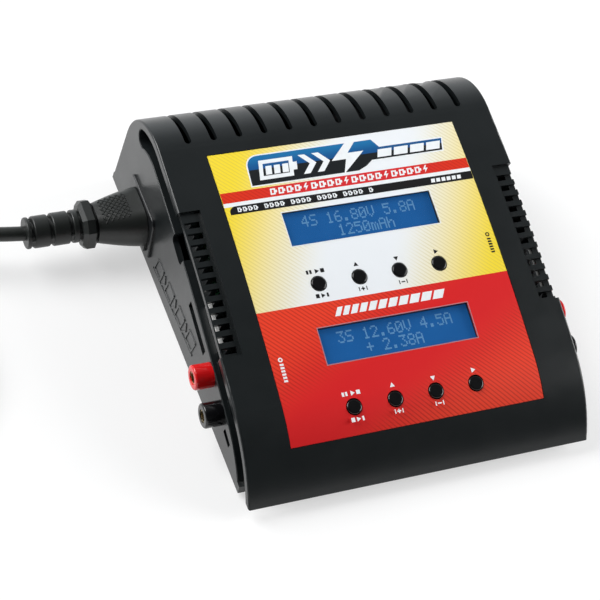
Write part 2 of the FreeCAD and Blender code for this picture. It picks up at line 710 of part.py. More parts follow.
def heat_sink():
    """Finned block in front of the fan."""
    base = block_on_board(FAN_X, 40.0, 40.0, 4.0, 28.0)
    fins = []
    for i in range(9):
        x = FAN_X - 18.0 + i * 4.5
        fins.append(box(x - 0.7, x + 0.7, 41.0, 52.0, BOARD_TOP, BOARD_TOP + 28.0))
    return fuse([base] + fins)


def power_transistors():
    shapes = []
    for i in range(4):
        x = FAN_X - 15.0 + i * 10.0
        shapes.append(box(x - 4.0, x + 4.0, 35.2, 37.8, BOARD_TOP + 4.0, BOARD_TOP + 18.0))
    return Part.makeCompound(shapes)


def output_inductors():
    shapes = []
    for x in (-40.0, 40.0):
        coil = block_on_board(x, -22.0, 14.0, 14.0, 9.0)
        upright = [e for e in coil.Edges if abs(e.tangentAt(0).z) > 0.9]
        shapes.append(coil.makeFillet(3.0, upright))
    return Part.makeCompound(shapes)


def output_capacitors():
    shapes = []
    for x in (-26.0, -14.0, 14.0, 26.0):
        shapes.append(post(x, -22.0, 4.0, BOARD_TOP, BOARD_TOP + 10.0))
    return Part.makeCompound(shapes)


def processor_chip():
    return block_on_board(0.0, -46.0, 12.0, 12.0, 1.4)


def line_fuse():
    """Glass tube fuse with its two end caps."""
    tube = x_rod(66.0, BOARD_TOP + 3.6, 2.5, -16.0, 4.0)
    caps = [x_rod(66.0, BOARD_TOP + 3.6, 3.0, -18.0, -12.0), x_rod(66.0, BOARD_TOP + 3.6, 3.0, 0.0, 6.0)]
    feet = [box(-17.0, -13.0, 65.0, 67.0, BOARD_TOP, BOARD_TOP + 2.0),
            box(1.0, 5.0, 65.0, 67.0, BOARD_TOP, BOARD_TOP + 2.0)]
    return fuse([tube] + caps + feet)


def ribbon_cable():
    """Flat cable from the main board up to the display board."""
    y, z = panel_point(34.0, DISPLAY_BOARD_TOP - BOARD_T - 0.1)
    points = [V(0, y, z), V(0, y + 0.5, z - 9.0), V(0, y - 8.0, z - 19.0), V(0, y - 8.0, BOARD_TOP + 0.1)]
    thickness = V(0, 1.0, 0)
    loop = points + [p + thickness for p in points[::-1]]
    return across(Part.Face(Part.makePolygon(loop + [loop[0]])), -12.7, 12.7)


def fan_frame():
    half = FAN_SIZE / 2
    y0 = FAN_Y - FAN_DEPTH / 2
    frame = box(FAN_X - half, FAN_X + half, y0, y0 + FAN_DEPTH, FAN_Z - half, FAN_Z + half)
    long_edges = [e for e in frame.Edges if abs(e.tangentAt(0).y) > 0.9]
    frame = frame.makeFillet(2.5, long_edges)
    tools = [y_rod(FAN_X, FAN_Z, FAN_BORE_R, y0 - 1, y0 + FAN_DEPTH + 1)]
    reach = half - 3.6
    for dx in (-reach, reach):
        tools += [y_rod(FAN_X + dx, FAN_Z + dz, 1.7, y0 - 1, y0 + FAN_DEPTH + 1) for dz in (-reach, reach)]
    frame = cut(frame, tools)
    spokes = []
    for i in range(4):
        spoke = box(FAN_X, FAN_X + FAN_BORE_R + 0.4, y0, y0 + 1.5, FAN_Z - 1.0, FAN_Z + 1.0)
        spoke.rotate(V(FAN_X, FAN_Y, FAN_Z), V(0, 1, 0), 45 + 90 * i)
        spokes.append(spoke)
    hub = y_rod(FAN_X, FAN_Z, FAN_HUB_R, y0, y0 + 1.8)
    bearing = y_rod(FAN_X, FAN_Z, 2.6, y0, y0 + 6.0)
    solid = fuse([frame, hub, bearing] + spokes)
    return cut(solid, [y_rod(FAN_X, FAN_Z, FAN_SHAFT_R + 0.05, y0 + 1.0, y0 + 7.0)])


def fan_rotor():
    y0 = FAN_Y - FAN_DEPTH / 2 + 2.2
    y1 = FAN_Y + FAN_DEPTH / 2 - 0.6
    cup = y_rod(FAN_X, FAN_Z, FAN_HUB_R, y0, y1).cut(y_rod(FAN_X, FAN_Z, FAN_HUB_R - 1.2, y0 - 1, y1 - 1.2))
    shaft = y_rod(FAN_X, FAN_Z, FAN_SHAFT_R, y0 - 0.7, y1 - 0.5)
    blades = []
    ring = y_rod(FAN_X, FAN_Z, FAN_TIP_R, y0, y1).cut(y_rod(FAN_X, FAN_Z, FAN_HUB_R - 0.6, y0 - 1, y1 + 1))
    for i in range(FAN_BLADES):
        blade = box(FAN_X + FAN_HUB_R - 0.6, FAN_X + FAN_TIP_R + 2, -0.5, 0.5, -5.0, 5.0)
        blade.rotate(V(0, 0, 0), V(1, 0, 0), 50)
        blade.translate(V(0, (y0 + y1) / 2, FAN_Z))
        blade.rotate(V(FAN_X, FAN_Y, FAN_Z), V(0, 1, 0), 360.0 / FAN_BLADES * i)
        blades.append(blade.common(ring))
    return fuse([cup, shaft] + blades)


# ---------------------------------------------------------------- sockets and jacks
def bevelled_block(x0, x1, size, bevel):
    """A block along X at the inlet whose two upper corners are cut off, as on a mains connector."""
    width, height = size
    y0, y1 = INLET_Y - width / 2, INLET_Y + width / 2
    z0, z1 = INLET_Z - height / 2, INLET_Z + height / 2
    corners = [V(x0, y0, z0), V(x0, y1, z0), V(x0, y1, z1 - bevel), V(x0, y1 - bevel, z1),
               V(x0, y0 + bevel, z1), V(x0, y0, z1 - bevel), V(x0, y0, z0)]
    return Part.Face(Part.makePolygon(corners)).extrude(V(x1 - x0, 0, 0))


def pin_places():
    """(y, z) of line, earth and neutral in the mains inlet; earth sits lower."""
    return [(INLET_Y + dy, INLET_Z + dz) for dy, dz in ((-PIN_SPACING, 2.0), (0.0, -2.0), (PIN_SPACING, 2.0))]


def ac_inlet():
    face_x = -SIDE - INLET_FLANGE_T
    flange = round_block(face_x, -SIDE, INLET_Y, INLET_Z, INLET_FLANGE, 3.5)
    front = [e for e in flange.Edges if abs(e.CenterOfMass.x - face_x) < 0.01]
    flange = flange.makeFillet(0.5, front)
    shell = round_block(-SIDE - 0.5, -INLET_BODY_END, INLET_Y, INLET_Z, INLET_BODY, 1.5)
    body = fuse([flange, shell])
    socket = bevelled_block(face_x - 1, face_x + INLET_SOCKET_DEPTH, INLET_SOCKET, 4.0)
    pins = [box(-70.0, -40.0, y - 1.0, y + 1.0, z - 2.0, z + 2.0) for y, z in pin_places()]
    return cut(body, [socket] + pins)


def ac_inlet_pins():
    pins = []
    for y, z in pin_places():
        blade = box(-69.0, -INLET_BODY_END + 5.0, y - 0.98, y + 0.98, z - 1.98, z + 1.98)
        tip = [e for e in blade.Edges if abs(e.CenterOfMass.x + 69.0) < 0.01]
        pins.append(blade.makeChamfer(0.4, tip))
    return Part.makeCompound(pins)


def dc_pin_places():
    return [(INLET_Y - 4.0, INLET_Z), (INLET_Y + 4.0, INLET_Z)]


def dc_inlet():
    """Two-pole low-voltage inlet on the right side."""
    flange = round_block(SIDE, SIDE + 1.0, INLET_Y, INLET_Z, (26.0, 17.0), 1.5)
    shell = round_block(SIDE - 18.0, SIDE + 0.5, INLET_Y, INLET_Z, DC_BODY, 1.0)
    socket = round_block(SIDE - 12.0, SIDE + 2.0, INLET_Y, INLET_Z, DC_SOCKET, 2.0)
    holes = [x_rod(y, z, 1.75, SIDE - 25.0, SIDE) for y, z in dc_pin_places()]
    return cut(fuse([flange, shell]), [socket] + holes)


def dc_inlet_pins():
    return Part.makeCompound([x_rod(y, z, 1.73, SIDE - 22.0, SIDE - 4.5) for y, z in dc_pin_places()])


def jack_body(s, h):
    """Insulated 4 mm socket on the right side: cap outside, stem through the wall."""
    y, z = panel_point(s, h)
    cap = x_rod(y, z, JACK_R, SIDE, SIDE + JACK_PROUD)
    rim = [e for e in cap.Edges if abs(e.CenterOfMass.x - SIDE - JACK_PROUD) < 0.01]
    cap = cap.makeFillet(0.8, rim)
    stem = x_rod(y, z, JACK_STEM_R, JACK_STEM_END, SIDE + 1)
    bore = x_rod(y, z, SLEEVE_R + 0.02, JACK_STEM_END - 1, SIDE + JACK_PROUD + 1)
    return cut(fuse([cap, stem]), [bore])


def jack_sleeve(s, h):
    y, z = panel_point(s, h)
    mouth = SIDE + JACK_PROUD - 0.4
    sleeve = x_rod(y, z, SLEEVE_R, JACK_STEM_END - 4.0, mouth)
    return sleeve.cut(x_rod(y, z, SLEEVE_BORE_R, mouth - SLEEVE_BORE_LENGTH, mouth + 1))


def jack_nut(s, h):
    y, z = panel_point(s, h)
    corner_r = NUT_FLATS / 2 / math.cos(math.radians(30))
    corners = [on_circle((y, z), corner_r, 60 * i) for i in range(7)]
    hexagon = Part.Face(Part.makePolygon([yz(c, JACK_BOSS_END - NUT_T) for c in corners]))
    return hexagon.extrude(V(NUT_T, 0, 0)).cut(x_rod(y, z, JACK_STEM_R + 0.02, 50, 80))


def jack_group(make):
    shapes = []
    for s, h in JACKS.values():
        shapes += both_sides(make(s, h))
    return Part.makeCompound(shapes)


def balance_port():
    """White header for the balance lead, with a raised key wall along its back."""
    h0, h1 = -20.6, -14.1
    body = panel_box(60.5, SIDE - WALL - 0.2, *BALANCE_S, h0, h1)
    key = panel_box(*KEY_X, *KEY_S, h1 - 0.5, KEY_TOP)
    mouth = panel_box(63.0, SIDE, BALANCE_S[0] + 1.2, BALANCE_S[1] - 1.2, h0 + 1.1, h1 - 0.9)
    return cut(fuse([body, key]), [mouth])


def balance_pins():
    pins = []
    for i in range(8):
        s = BALANCE_S[0] + 3.75 + i * 2.5
        pins.append(panel_box(63.0, 67.5, s - 0.32, s + 0.32, -17.6, -16.96))
    return pins


def probe_port():
    """Three-pin socket for a temperature probe."""
    s0, s1 = PROBE_S
    h0, h1 = PROBE_H
    body = panel_box(62.0, SIDE - WALL - CLEAR, s0 - 0.4, s1 + 0.2, h0 - 0.4, h1 + 0.4)
    mouth = panel_box(65.0, SIDE, *PROBE_S, *PROBE_H)
    return body.cut(mouth)


# ---------------------------------------------------------------- mains lead
def rounded_section(x, size, corner):
    """A rounded-rectangle wire across X at the connector's axis, for lofting."""
    width, height = size
    face = round_block(x, x + 1.0, INLET_Y, INLET_Z, (width, height), corner)
    ends = [f for f in face.Faces if abs(f.CenterOfMass.x - x) < 0.001]
    return ends[0].OuterWire


def octagon_section(x, size, corner):
    """A wire across X at the connector's axis: a rectangle with its corners cut off, for lofting."""
    half_w, half_h = size[0] / 2, size[1] / 2
    flat_w, flat_h = half_w - corner, half_h - corner
    outline = [(flat_w, half_h), (half_w, flat_h), (half_w, -flat_h), (flat_w, -half_h),
               (-flat_w, -half_h), (-half_w, -flat_h), (-half_w, flat_h), (-flat_w, half_h)]
    points = [V(x, INLET_Y + a, INLET_Z + b) for a, b in outline]
    return Part.makePolygon(points + points[:1])


def cord_connector():
    """Moulded connector: nose in the inlet, tapered grip, octagonal collar and ribbed strain relief."""
    face_x = -SIDE - INLET_FLANGE_T
    nose = bevelled_block(face_x - 1.0, face_x + CONNECTOR_NOSE_LENGTH, CONNECTOR_NOSE, 3.9)
    grip = Part.makeLoft([rounded_section(face_x - back, size, corner)
                          for back, size, corner in GRIP_SECTIONS], True, False)
    collar = Part.makeLoft([octagon_section(*section) for section in COLLAR_SECTIONS], True, True)
    core_r = RELIEF_CORE_R
    core = Part.makeCone(*core_r, RELIEF_START_X - RELIEF_END_X, V(RELIEF_START_X, INLET_Y, INLET_Z), V(-1, 0, 0))
    waist_x = face_x - GRIP_SECTIONS[-1][0]
    joiner = x_rod(INLET_Y, INLET_Z, GRIP_WAIST_R, waist_x - 2.5, waist_x + 1.5)
    rings = []
    for x0, x1, radius in RELIEF_RINGS:
        ring = x_rod(INLET_Y, INLET_Z, radius, x0, x1)
        rims = [e for e in ring.Edges if e.Length > 30]
        rings.append(ring.makeFillet(0.6, rims))
    bridge_w, bridge_h = RELIEF_BRIDGE
    bridge = box(RELIEF_END_X + 1, RELIEF_START_X, INLET_Y - bridge_w / 2, INLET_Y + bridge_w / 2,
                 INLET_Z - bridge_h / 2, INLET_Z + bridge_h / 2)
    solid = fuse([nose, grip, joiner, collar, core, bridge] + rings)
    sockets = [box(-72.5, -56.0, y - 1.35, y + 1.35, z - 2.35, z + 2.35) for y, z in pin_places()]
    return cut(solid, sockets)


def connector_contacts():
    """Spring sleeves that grip the inlet's pins."""
    shapes = []
    for y, z in pin_places():
        sleeve = box(-72.0, -60.0, y - 1.3, y + 1.3, z - 2.3, z + 2.3)
        shapes.append(sleeve.cut(box(-71.0, -50.0, y - 1.05, y + 1.05, z - 2.05, z + 2.05)))
    return Part.makeCompound(shapes)


def tube_path(points, name):
    """Straight runs joined by tangent arcs as large as the runs allow."""
    points = [V(*p) for p in points]
    edges = []
    radii = []
    here = points[0]
    for before, corner, after in zip(points, points[1:], points[2:]):
        into = (corner - before).normalize()
        out = (after - corner).normalize()
        turn = into.getAngle(out)
        setback = 0.45 * min((corner - before).Length, (after - corner).Length)
        radius = setback / math.tan(turn / 2)
        radii.append(radius)
        start = corner - into * setback
        end = corner + out * setback
        middle_direction = (out - into).normalize()
        centre = corner + middle_direction * (radius / math.cos(turn / 2))
        middle = centre - middle_direction * radius
        edges.append(Part.LineSegment(here, start).toShape())
        edges.append(Part.Arc(start, middle, end).toShape())
        here = end
    edges.append(Part.LineSegment(here, points[-1]).toShape())
    wire = Part.Wire(edges)
    print(name, "length %.1f, radii" % wire.Length, [round(r, 1) for r in radii])
    return wire


def tube(points, name):
    wire = tube_path(points, name)
    start = V(*points[0])
    direction = V(*points[1]) - start
    section = Part.Wire(Part.makeCircle(CORD_R, start, direction))
    solid = wire.makePipeShell([section], True, True)
    area = math.pi * CORD_R ** 2
    print(name, "volume %.0f, section times length %.0f" % (solid.Volume, area * wire.Length))
    return solid


def cord_coil():
    half = COIL_COLUMNS * CORD_R
    height = COIL_LAYERS * 2 * CORD_R
    ring = post(COIL_X, COIL_Y, COIL_MEAN_R + half, 0.0, height)
    ring = ring.cut(post(COIL_X, COIL_Y, COIL_MEAN_R - half, -1.0, height + 1))
    rims = [e for e in ring.Edges if e.Length > 100 and len(e.Vertexes) == 1]
    return ring.makeFillet(2.5, rims)


def coil_tie():
    """Strap round the coil's section, on the side away from the charger's lead."""
    half = COIL_COLUMNS * CORD_R
    x = COIL_X
    y = COIL_Y - COIL_MEAN_R
    height = COIL_LAYERS * 2 * CORD_R
    outer = box(x - 4.0, x + 4.0, y - half - 1.4, y + half + 1.4, 0.0, height + 1.2)
    inner = box(x - 5.0, x + 5.0, y - half - 0.4, y + half + 0.4, -1.0, height + 0.1)
    return outer.cut(inner)


def mains_plug():
    """Three-pin plug with a rounded body and a tapered strain relief."""
    y0, y1 = PLUG_BODY_Y
    body = box(PLUG_X - 13.0, PLUG_X + 13.0, y1, y0, 0.0, 2 * PLUG_Z)
    long_edges = [e for e in body.Edges if abs(e.tangentAt(0).y) > 0.9]
    body = body.makeFillet(6.0, long_edges)
    back = [e for e in body.Edges if abs(e.CenterOfMass.y - y0) < 0.01]
    body = body.makeFillet(2.5, back)
    length = PLUG_RELIEF_Y[0] - PLUG_RELIEF_Y[1]
    relief = Part.makeCone(6.5, 4.3, length + 1.0, V(PLUG_X, PLUG_RELIEF_Y[1] - 1.0, PLUG_Z), V(0, 1, 0))
    solid = fuse([body, relief])
    holes = [b.copy() for b in blade_shapes(0.0)]
    return cut(solid, holes)


def blade_shapes(shrink):
    """Two flat blades and a round earth pin, pointing to -Y."""
    y0 = PLUG_BODY_Y[1] + 8.0
    y1 = PLUG_BLADE_END_Y
    half = BLADE_T / 2 - shrink
    z0, z1 = PLUG_Z - 5.2 + shrink, PLUG_Z + 1.2 - shrink
    blades = []
    for x in (PLUG_X - BLADE_SPACING / 2, PLUG_X + BLADE_SPACING / 2):
        blades.append(box(x - half, x + half, y1, y0, z0, z1))
    blades.append(y_rod(PLUG_X, PLUG_Z + 5.9, EARTH_PIN_R - shrink, y1 - 2.0, y0))
    return blades


# ---------------------------------------------------------------- write the parts
def main():
    nodes = {
        "upper_case": upper_case(),
        "base_tray": base_tray(),
        "label_sheet": label_sheet(),
        "display_board": display_board(),
        "button_switches": button_switches(),
        "display_screws": display_screws(),
        "main_board": main_board(),
        "board_screws": board_screws(),
        "case_screws": case_screws(),
        "rubber_feet": rubber_feet(),
        "power_transformer": power_transformer(),
        "main_capacitor": main_capacitor(),
        "line_choke": line_choke(),
        "heat_sink": heat_sink(),
        "power_transistors": power_transistors(),
        "output_inductors": output_inductors(),
        "output_capacitors": output_capacitors(),
        "processor_chip": processor_chip(),
        "line_fuse": line_fuse(),
        "ribbon_cable": ribbon_cable(),
        "fan_frame": fan_frame(),
        "fan_rotor": fan_rotor(),
        "ac_inlet": ac_inlet(),
        "ac_inlet_pins": ac_inlet_pins(),
        "dc_inlet": dc_inlet(),
        "dc_inlet_pins": dc_inlet_pins(),
        "jack_sleeves": jack_group(jack_sleeve),
        "jack_nuts": jack_group(jack_nut),
        "balance_port_right": balance_port(),
        "balance_port_left": mirrored(balance_port()),
        "balance_pins": Part.makeCompound([p for pin in balance_pins() for p in both_sides(pin)]),
        "probe_ports": Part.makeCompound(both_sides(probe_port())),
        "cord_connector": cord_connector(),
        "connector_contacts": connector_contacts(),
        "power_cord": tube(CORD_ROUTE, "power_cord"),
        "cord_coil": cord_coil(),
        "coil_tie": coil_tie(),
        "cord_tail": tube(TAIL_ROUTE, "cord_tail"),
        "mains_plug": mains_plug(),
        "plug_blades": Part.makeCompound(blade_shapes(0.02)),
    }
    for colour, (s, h) in JACKS.items():
        nodes["jack_%s_right" % colour] = jack_body(s, h)
        nodes["jack_%s_left" % colour] = mirrored(jack_body(s, h))
    for row in DISPLAY_S:
        nodes["display_window_" + row] = display_window(row)
        nodes["lcd_glass_" + row] = lcd_glass(row)
        nodes["lcd_bezel_" + row] = lcd_bezel(row)
        nodes["lcd_board_" + row] = lcd_board(row)
    for row, i, x, s in button_places():
        nodes["button_%s_%d" % (row, i + 1)] = button_cap(x, s)
    os.makedirs("parts", exist_ok=True)
    for name, shape in nodes.items():
        shape.exportStep("parts/%s.step" % name)
        bounds = shape.BoundBox
        print("%-22s solids %2d volume %9.1f  x %.1f %.1f  y %.1f %.1f  z %.1f %.1f valid %s" % (
            name, len(shape.Solids), shape.Volume, bounds.XMin, bounds.XMax,
            bounds.YMin, bounds.YMax, bounds.ZMin, bounds.ZMax, shape.isValid()))
    print(len(nodes), "nodes")


main()
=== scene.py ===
import math

import bmesh
import bpy
from mathutils import Matrix, Vector


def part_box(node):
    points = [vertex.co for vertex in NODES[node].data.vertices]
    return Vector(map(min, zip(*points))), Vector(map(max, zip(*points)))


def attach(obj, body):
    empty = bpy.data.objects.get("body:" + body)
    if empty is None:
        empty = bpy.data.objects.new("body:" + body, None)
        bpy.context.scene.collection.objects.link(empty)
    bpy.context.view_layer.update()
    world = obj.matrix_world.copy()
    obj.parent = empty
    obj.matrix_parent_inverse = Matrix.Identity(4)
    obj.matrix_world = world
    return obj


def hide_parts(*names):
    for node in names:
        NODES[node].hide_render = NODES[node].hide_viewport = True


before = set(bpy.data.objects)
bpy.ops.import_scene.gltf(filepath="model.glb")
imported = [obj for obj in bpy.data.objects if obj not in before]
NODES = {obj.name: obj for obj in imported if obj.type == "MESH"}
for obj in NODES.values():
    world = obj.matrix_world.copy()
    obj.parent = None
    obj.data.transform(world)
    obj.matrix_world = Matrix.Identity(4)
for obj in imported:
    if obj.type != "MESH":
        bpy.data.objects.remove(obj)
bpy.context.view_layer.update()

MM = 0.001
CASE = "charger"
LEAD = "mains_lead"

# Camera: its place in metres, where its right and up point, and its lens and sensor.
CAMERA_PLACE = (-0.2965, -0.4427, 0.6100)
CAMERA_RIGHT = (0.92415, -0.33960, 0.17494)
CAMERA_UP = (0.15852, 0.75752, 0.63324)
CAMERA_LENS, CAMERA_SENSOR = 116.5, 36.0

# World light by direction: from the front to the back, and from the level to the zenith.
WORLD_BEHIND_Y = (-0.25, 0.55)
WORLD_FRONT, WORLD_BACK = 0.09, 1.0
WORLD_ABOVE_Z = (0.25, 0.8)
WORLD_LEVEL, WORLD_ZENITH = 1.0, 0.26
WORLD_COLOR = (0.93, 0.97, 1.0, 1.0)
BACKDROP_COLOR = (0.93, 0.95, 0.96, 1.0)

# Two soft boxes: place and width in metres, and power in watts.
LIGHT_TARGET = (0.0, 0.0, 0.02)
KEY_PLACE, KEY_SIZE, KEY_POWER = (-0.75, 0.60, 0.95), 0.9, 19.5
FILL_PLACE, FILL_SIZE, FILL_POWER = (1.05, -0.25, 0.55), 0.7, 13.0

# Floor, in metres.
FLOOR_HALF, FLOOR_DROP = 6.0, 0.0003
FLOOR_GLOW = 0.56

# From here on, lengths are in millimetres.
# The sloping panel: (x, s, h) is to the right, up the slope from the label's middle, and out of it.
PANEL_TILT = math.radians(16.5)
PANEL_Y = -18.1
PANEL_Z = 44.6
ARCH_R = 625.5
LABEL_RECESS = 0.5
LABEL_T = 0.35
LABEL_W = 108.2
LABEL_L = 123.6
LABEL_R = ARCH_R - LABEL_RECESS + LABEL_T

# The label's layout: u to the right and v down from its upper left corner.
TWO_TONE_V = 70.06
BANNER_BLACK_V = 9.2
WINDOW_U = (22.4, 86.9)
WINDOW_V = {"upper": (29.95, 44.85), "lower": (80.25, 95.15)}
BUTTON_U = [28.4 + 17.385 * i for i in range(4)]
BUTTON_V = {"upper": 62.1, "lower": 113.1}

# Printed film: its finish and orange peel (the depth in metres), and the pitch of its hatching.
INK_ROUGHNESS, INK_SPECULAR = 0.45, 0.25
PEEL_SCALE, PEEL_DEPTH = 700.0, 0.000006
HATCH_PITCH = 1.45
# The yellow fades to white on both sides of a leaning line, u + lean * v = place.
FADE_LEAN, FADE_PLACE = 0.47, 74.0
FADE_REACH = (12.0, 62.0)
# The red turns to orange on both sides of a diagonal.
WARM_U, WARM_V, WARM_PLACE = 0.447, 0.894, 110.9
WARM_REACH = (5.0, 36.0)

# Ink shapes: thickness, how often an outline is cut to follow the arch, and height of each layer.
INK_T = 0.03
SLICE = 4.0
LIFT_GAP, LIFT_EDGE, LIFT_PLAIN = 0.012, 0.015, 0.02
LIFT_FILL, LIFT_MARK, LIFT_LINE = 0.03, 0.045, 0.05

# The displays: cell and dot pitch, a dot's size, the text's inset, and the glass below the panel.
CELL_W, CELL_H = 3.55, 5.94
DOT_W, DOT_H = 0.6, 0.7
DOT_SIZE_X, DOT_SIZE_S, DOT_T = 0.56, 0.66, 0.03
TEXT_INSET_U, TEXT_INSET_V = 0.3, 0.4
COLUMNS = 16
GLASS_H = -2.05

# The mains lead: its route from the connector to the coil, and from the coil to the plug.
CORD_R = 3.0
COIL_RINGS = 3
COIL_TURNS = 7.25
COIL_TURN_POINTS = 24
CORD_ROUTE = ((-122.7, 52.0, 17.0), (-129.0, 52.6, 17.3), (-139.5, 54.8, 17.0),
              (-154.0, 56.2, 10.4), (-171.0, 57.0, 4.2), (-187.0, 57.2, 3.0),
              (-200.0, 57.0, 3.0))
TAIL_ROUTE = ((-245.0, 12.0, 9.0), (-246.5, -4.0, 9.0), (-249.8, -21.5, 9.0),
              (-251.0, -40.0, 11.0), (-251.0, -57.0, 11.0))

# The connector's grip: sections as x, width, height and corner radius, and its axis in y and z.
GRIP_SECTIONS = ((-74.5, 24.4, 19.0, 7.5), (-82.7, 22.0, 17.4, 7.3),
                 (-88.2, 19.4, 15.9, 6.9), (-93.7, 16.4, 14.0, 6.2))
GRIP_AXIS = (52.0, 17.0)
# Its ridges: the patch in x and y, and their pitch, width and height.
GRIP_PATCH = ((-79.5, -91.5), (45.5, 58.5))
GRIP_PITCH, GRIP_RIDGE_W, GRIP_RIDGE_H = 2.3, 0.5, 0.28
GRIP_SAMPLES, GRIP_STRIDE = 40, 4

# The mains plug: its axis, half sizes and corner, then its ribs and the rings of its strain relief.
PLUG_AXIS_Z = 11.0
PLUG_HALF_X, PLUG_HALF_Z, PLUG_CORNER = 13.0, 11.0, 6.0
PLUG_RIBS, PLUG_RIB_Y, PLUG_RIB_PITCH = 6, -83.5, 3.0
PLUG_FLOOR_GAP = 0.05
RELIEF_RINGS, RELIEF_Y, RELIEF_PITCH = 7, -58.5, 2.9
RELIEF_R, RELIEF_GROWTH, RELIEF_POINTS = 4.5, 0.31, 32

# The strap round the coil, how far it sinks between turns, and its loose end on top.
STRAP_T, STRAP_CORNER, STRAP_DIP = 1.0, 3.2, 0.25
STRAP_SIDE_POINTS, STRAP_CORNER_POINTS, STRAP_TOP_POINTS = 7, 8, 11
STRAP_FOOT_Z, STRAP_SIDE_STEP = 0.2, 1.4
STRAP_END_T, STRAP_END_INSET = 0.8, 0.3
STRAP_EDGE = 0.32

# The emblem moulded on each side: a row of leaning outlines that climbs towards the front.
SIDE_FACE_X = 73.0
EMBLEM_Y, EMBLEM_Z = 30.5, 9.0
EMBLEM_COUNT, EMBLEM_PITCH, EMBLEM_CLIMB = 4, 13.2, 0.9
EMBLEM_W, EMBLEM_H, EMBLEM_LEAN = 7.2, 7.6, 2.2
EMBLEM_LINE, EMBLEM_RISE = 0.95, 0.35
# A ridge is sunk into its surface, and its top is narrower than its foot.
RIDGE_SUNK, RIDGE_TAPER = 0.15, 0.72

# A dark sheet behind the right-hand vent, put there as painted shade so the slots show dark instead
# of the lit floor: its reach along s, and its top and foot in h.
SHADE_SHEET_X, SHADE_SHEET_T, SHADE_SHEET_STEP = 70.2, 0.4, 1.5
SHADE_SHEET_S = (37.5, -24.0)
SHADE_SHEET_HEADER_S = (-18.0, 4.0)
SHADE_SHEET_TOP = -2.9
SHADE_SHEET_DEEP, SHADE_SHEET_SHALLOW = -10.5, -6.4

# Where the headers' white shroud ends; inward of it the nylon is painted dark as shade.
HEADER_SHADE_X = 67.6

SMOOTH_ANGLE = math.radians(35.0)


# ---------------------------------------------------------------- camera, light and floor
def add_camera():
    data = bpy.data.cameras.new("camera")
    data.lens = CAMERA_LENS
    data.sensor_width = CAMERA_SENSOR
    camera = bpy.data.objects.new("camera", data)
    bpy.context.scene.collection.objects.link(camera)
    right = Vector(CAMERA_RIGHT).normalized()
    up = Vector(CAMERA_UP)
    up = (up - right * up.dot(right)).normalized()
    axes = Matrix((right, up, right.cross(up))).transposed()
    camera.matrix_world = Matrix.Translation(CAMERA_PLACE) @ axes.to_4x4()
    bpy.context.scene.camera = camera


def add_area(name, place, size, power):
    """A square soft box that looks at the object."""
    data = bpy.data.lights.new(name, "AREA")
    data.shape = "RECTANGLE"
    data.size = data.size_y = size
    data.energy = power
    lamp = bpy.data.objects.new(name, data)
    lamp.location = place
    towards = Vector(LIGHT_TARGET) - Vector(place)
    lamp.rotation_euler = towards.to_track_quat("-Z", "Y").to_euler()
    bpy.context.scene.collection.objects.link(lamp)


def smooth_step(tree, value, limits, results):
    """A smooth step of a node value between two limits."""
    node = tree.nodes.new("ShaderNodeMapRange")
    node.interpolation_type = "SMOOTHSTEP"
    tree.links.new(value, node.inputs["Value"])
    names = ("From Min", "From Max", "To Min", "To Max")
    for name, number in zip(names, (*limits, *results)):
        node.inputs[name].default_value = number
    return node.outputs["Result"]


def add_lights():
    """A world bright behind and dark above and in front, and two soft boxes beside the object."""
    world = bpy.data.worlds.new("studio")
    world.use_nodes = True
    tree = world.node_tree
    split = tree.nodes.new("ShaderNodeSeparateXYZ")
    tree.links.new(tree.nodes.new("ShaderNodeTexCoord").outputs["Generated"], split.inputs[0])
    behind = smooth_step(tree, split.outputs["Y"], WORLD_BEHIND_Y, (WORLD_FRONT, WORLD_BACK))
    above = smooth_step(tree, split.outputs["Z"], WORLD_ABOVE_Z, (WORLD_LEVEL, WORLD_ZENITH))
    strength = tree.nodes.new("ShaderNodeMath")
    strength.operation = "MULTIPLY"
    tree.links.new(behind, strength.inputs[0])
    tree.links.new(above, strength.inputs[1])
    background = tree.nodes["Background"]
    background.inputs["Color"].default_value = WORLD_COLOR
    tree.links.new(strength.outputs[0], background.inputs["Strength"])
    # what is seen beyond the floor is plain and pale, while the gradient only lights and reflects
    backdrop = tree.nodes.new("ShaderNodeBackground")
    backdrop.inputs["Color"].default_value = BACKDROP_COLOR
    seen = tree.nodes.new("ShaderNodeLightPath").outputs["Is Camera Ray"]
    chosen = tree.nodes.new("ShaderNodeMixShader")
    tree.links.new(seen, chosen.inputs["Fac"])
    tree.links.new(background.outputs[0], chosen.inputs[1])
    tree.links.new(backdrop.outputs[0], chosen.inputs[2])
    tree.links.new(chosen.outputs[0], tree.nodes["World Output"].inputs["Surface"])
    bpy.context.scene.world = world
    bpy.context.scene.view_settings.view_transform = "Standard"
    add_area("key", KEY_PLACE, KEY_SIZE, KEY_POWER)
    add_area("fill", FILL_PLACE, FILL_SIZE, FILL_POWER)


def add_floor():
    mesh = bpy.data.meshes.new("floor")
    signs = ((-1, -1), (1, -1), (1, 1), (-1, 1))
    corners = [(a * FLOOR_HALF, b * FLOOR_HALF, 0) for a, b in signs]
    mesh.from_pydata(corners, [], [(0, 1, 2, 3)])
    floor = bpy.data.objects.new("floor", mesh)
    floor.location.z = -FLOOR_DROP
    bpy.context.scene.collection.objects.link(floor)
    shader = Shader("floor_paper", (0.40, 0.40, 0.40), 0.9)
    shader.mottle((0.42, 0.42, 0.42), scale=8.0)
    shader.glow((1.0, 1.0, 1.0), FLOOR_GLOW)
    floor.data.materials.append(shader.material)


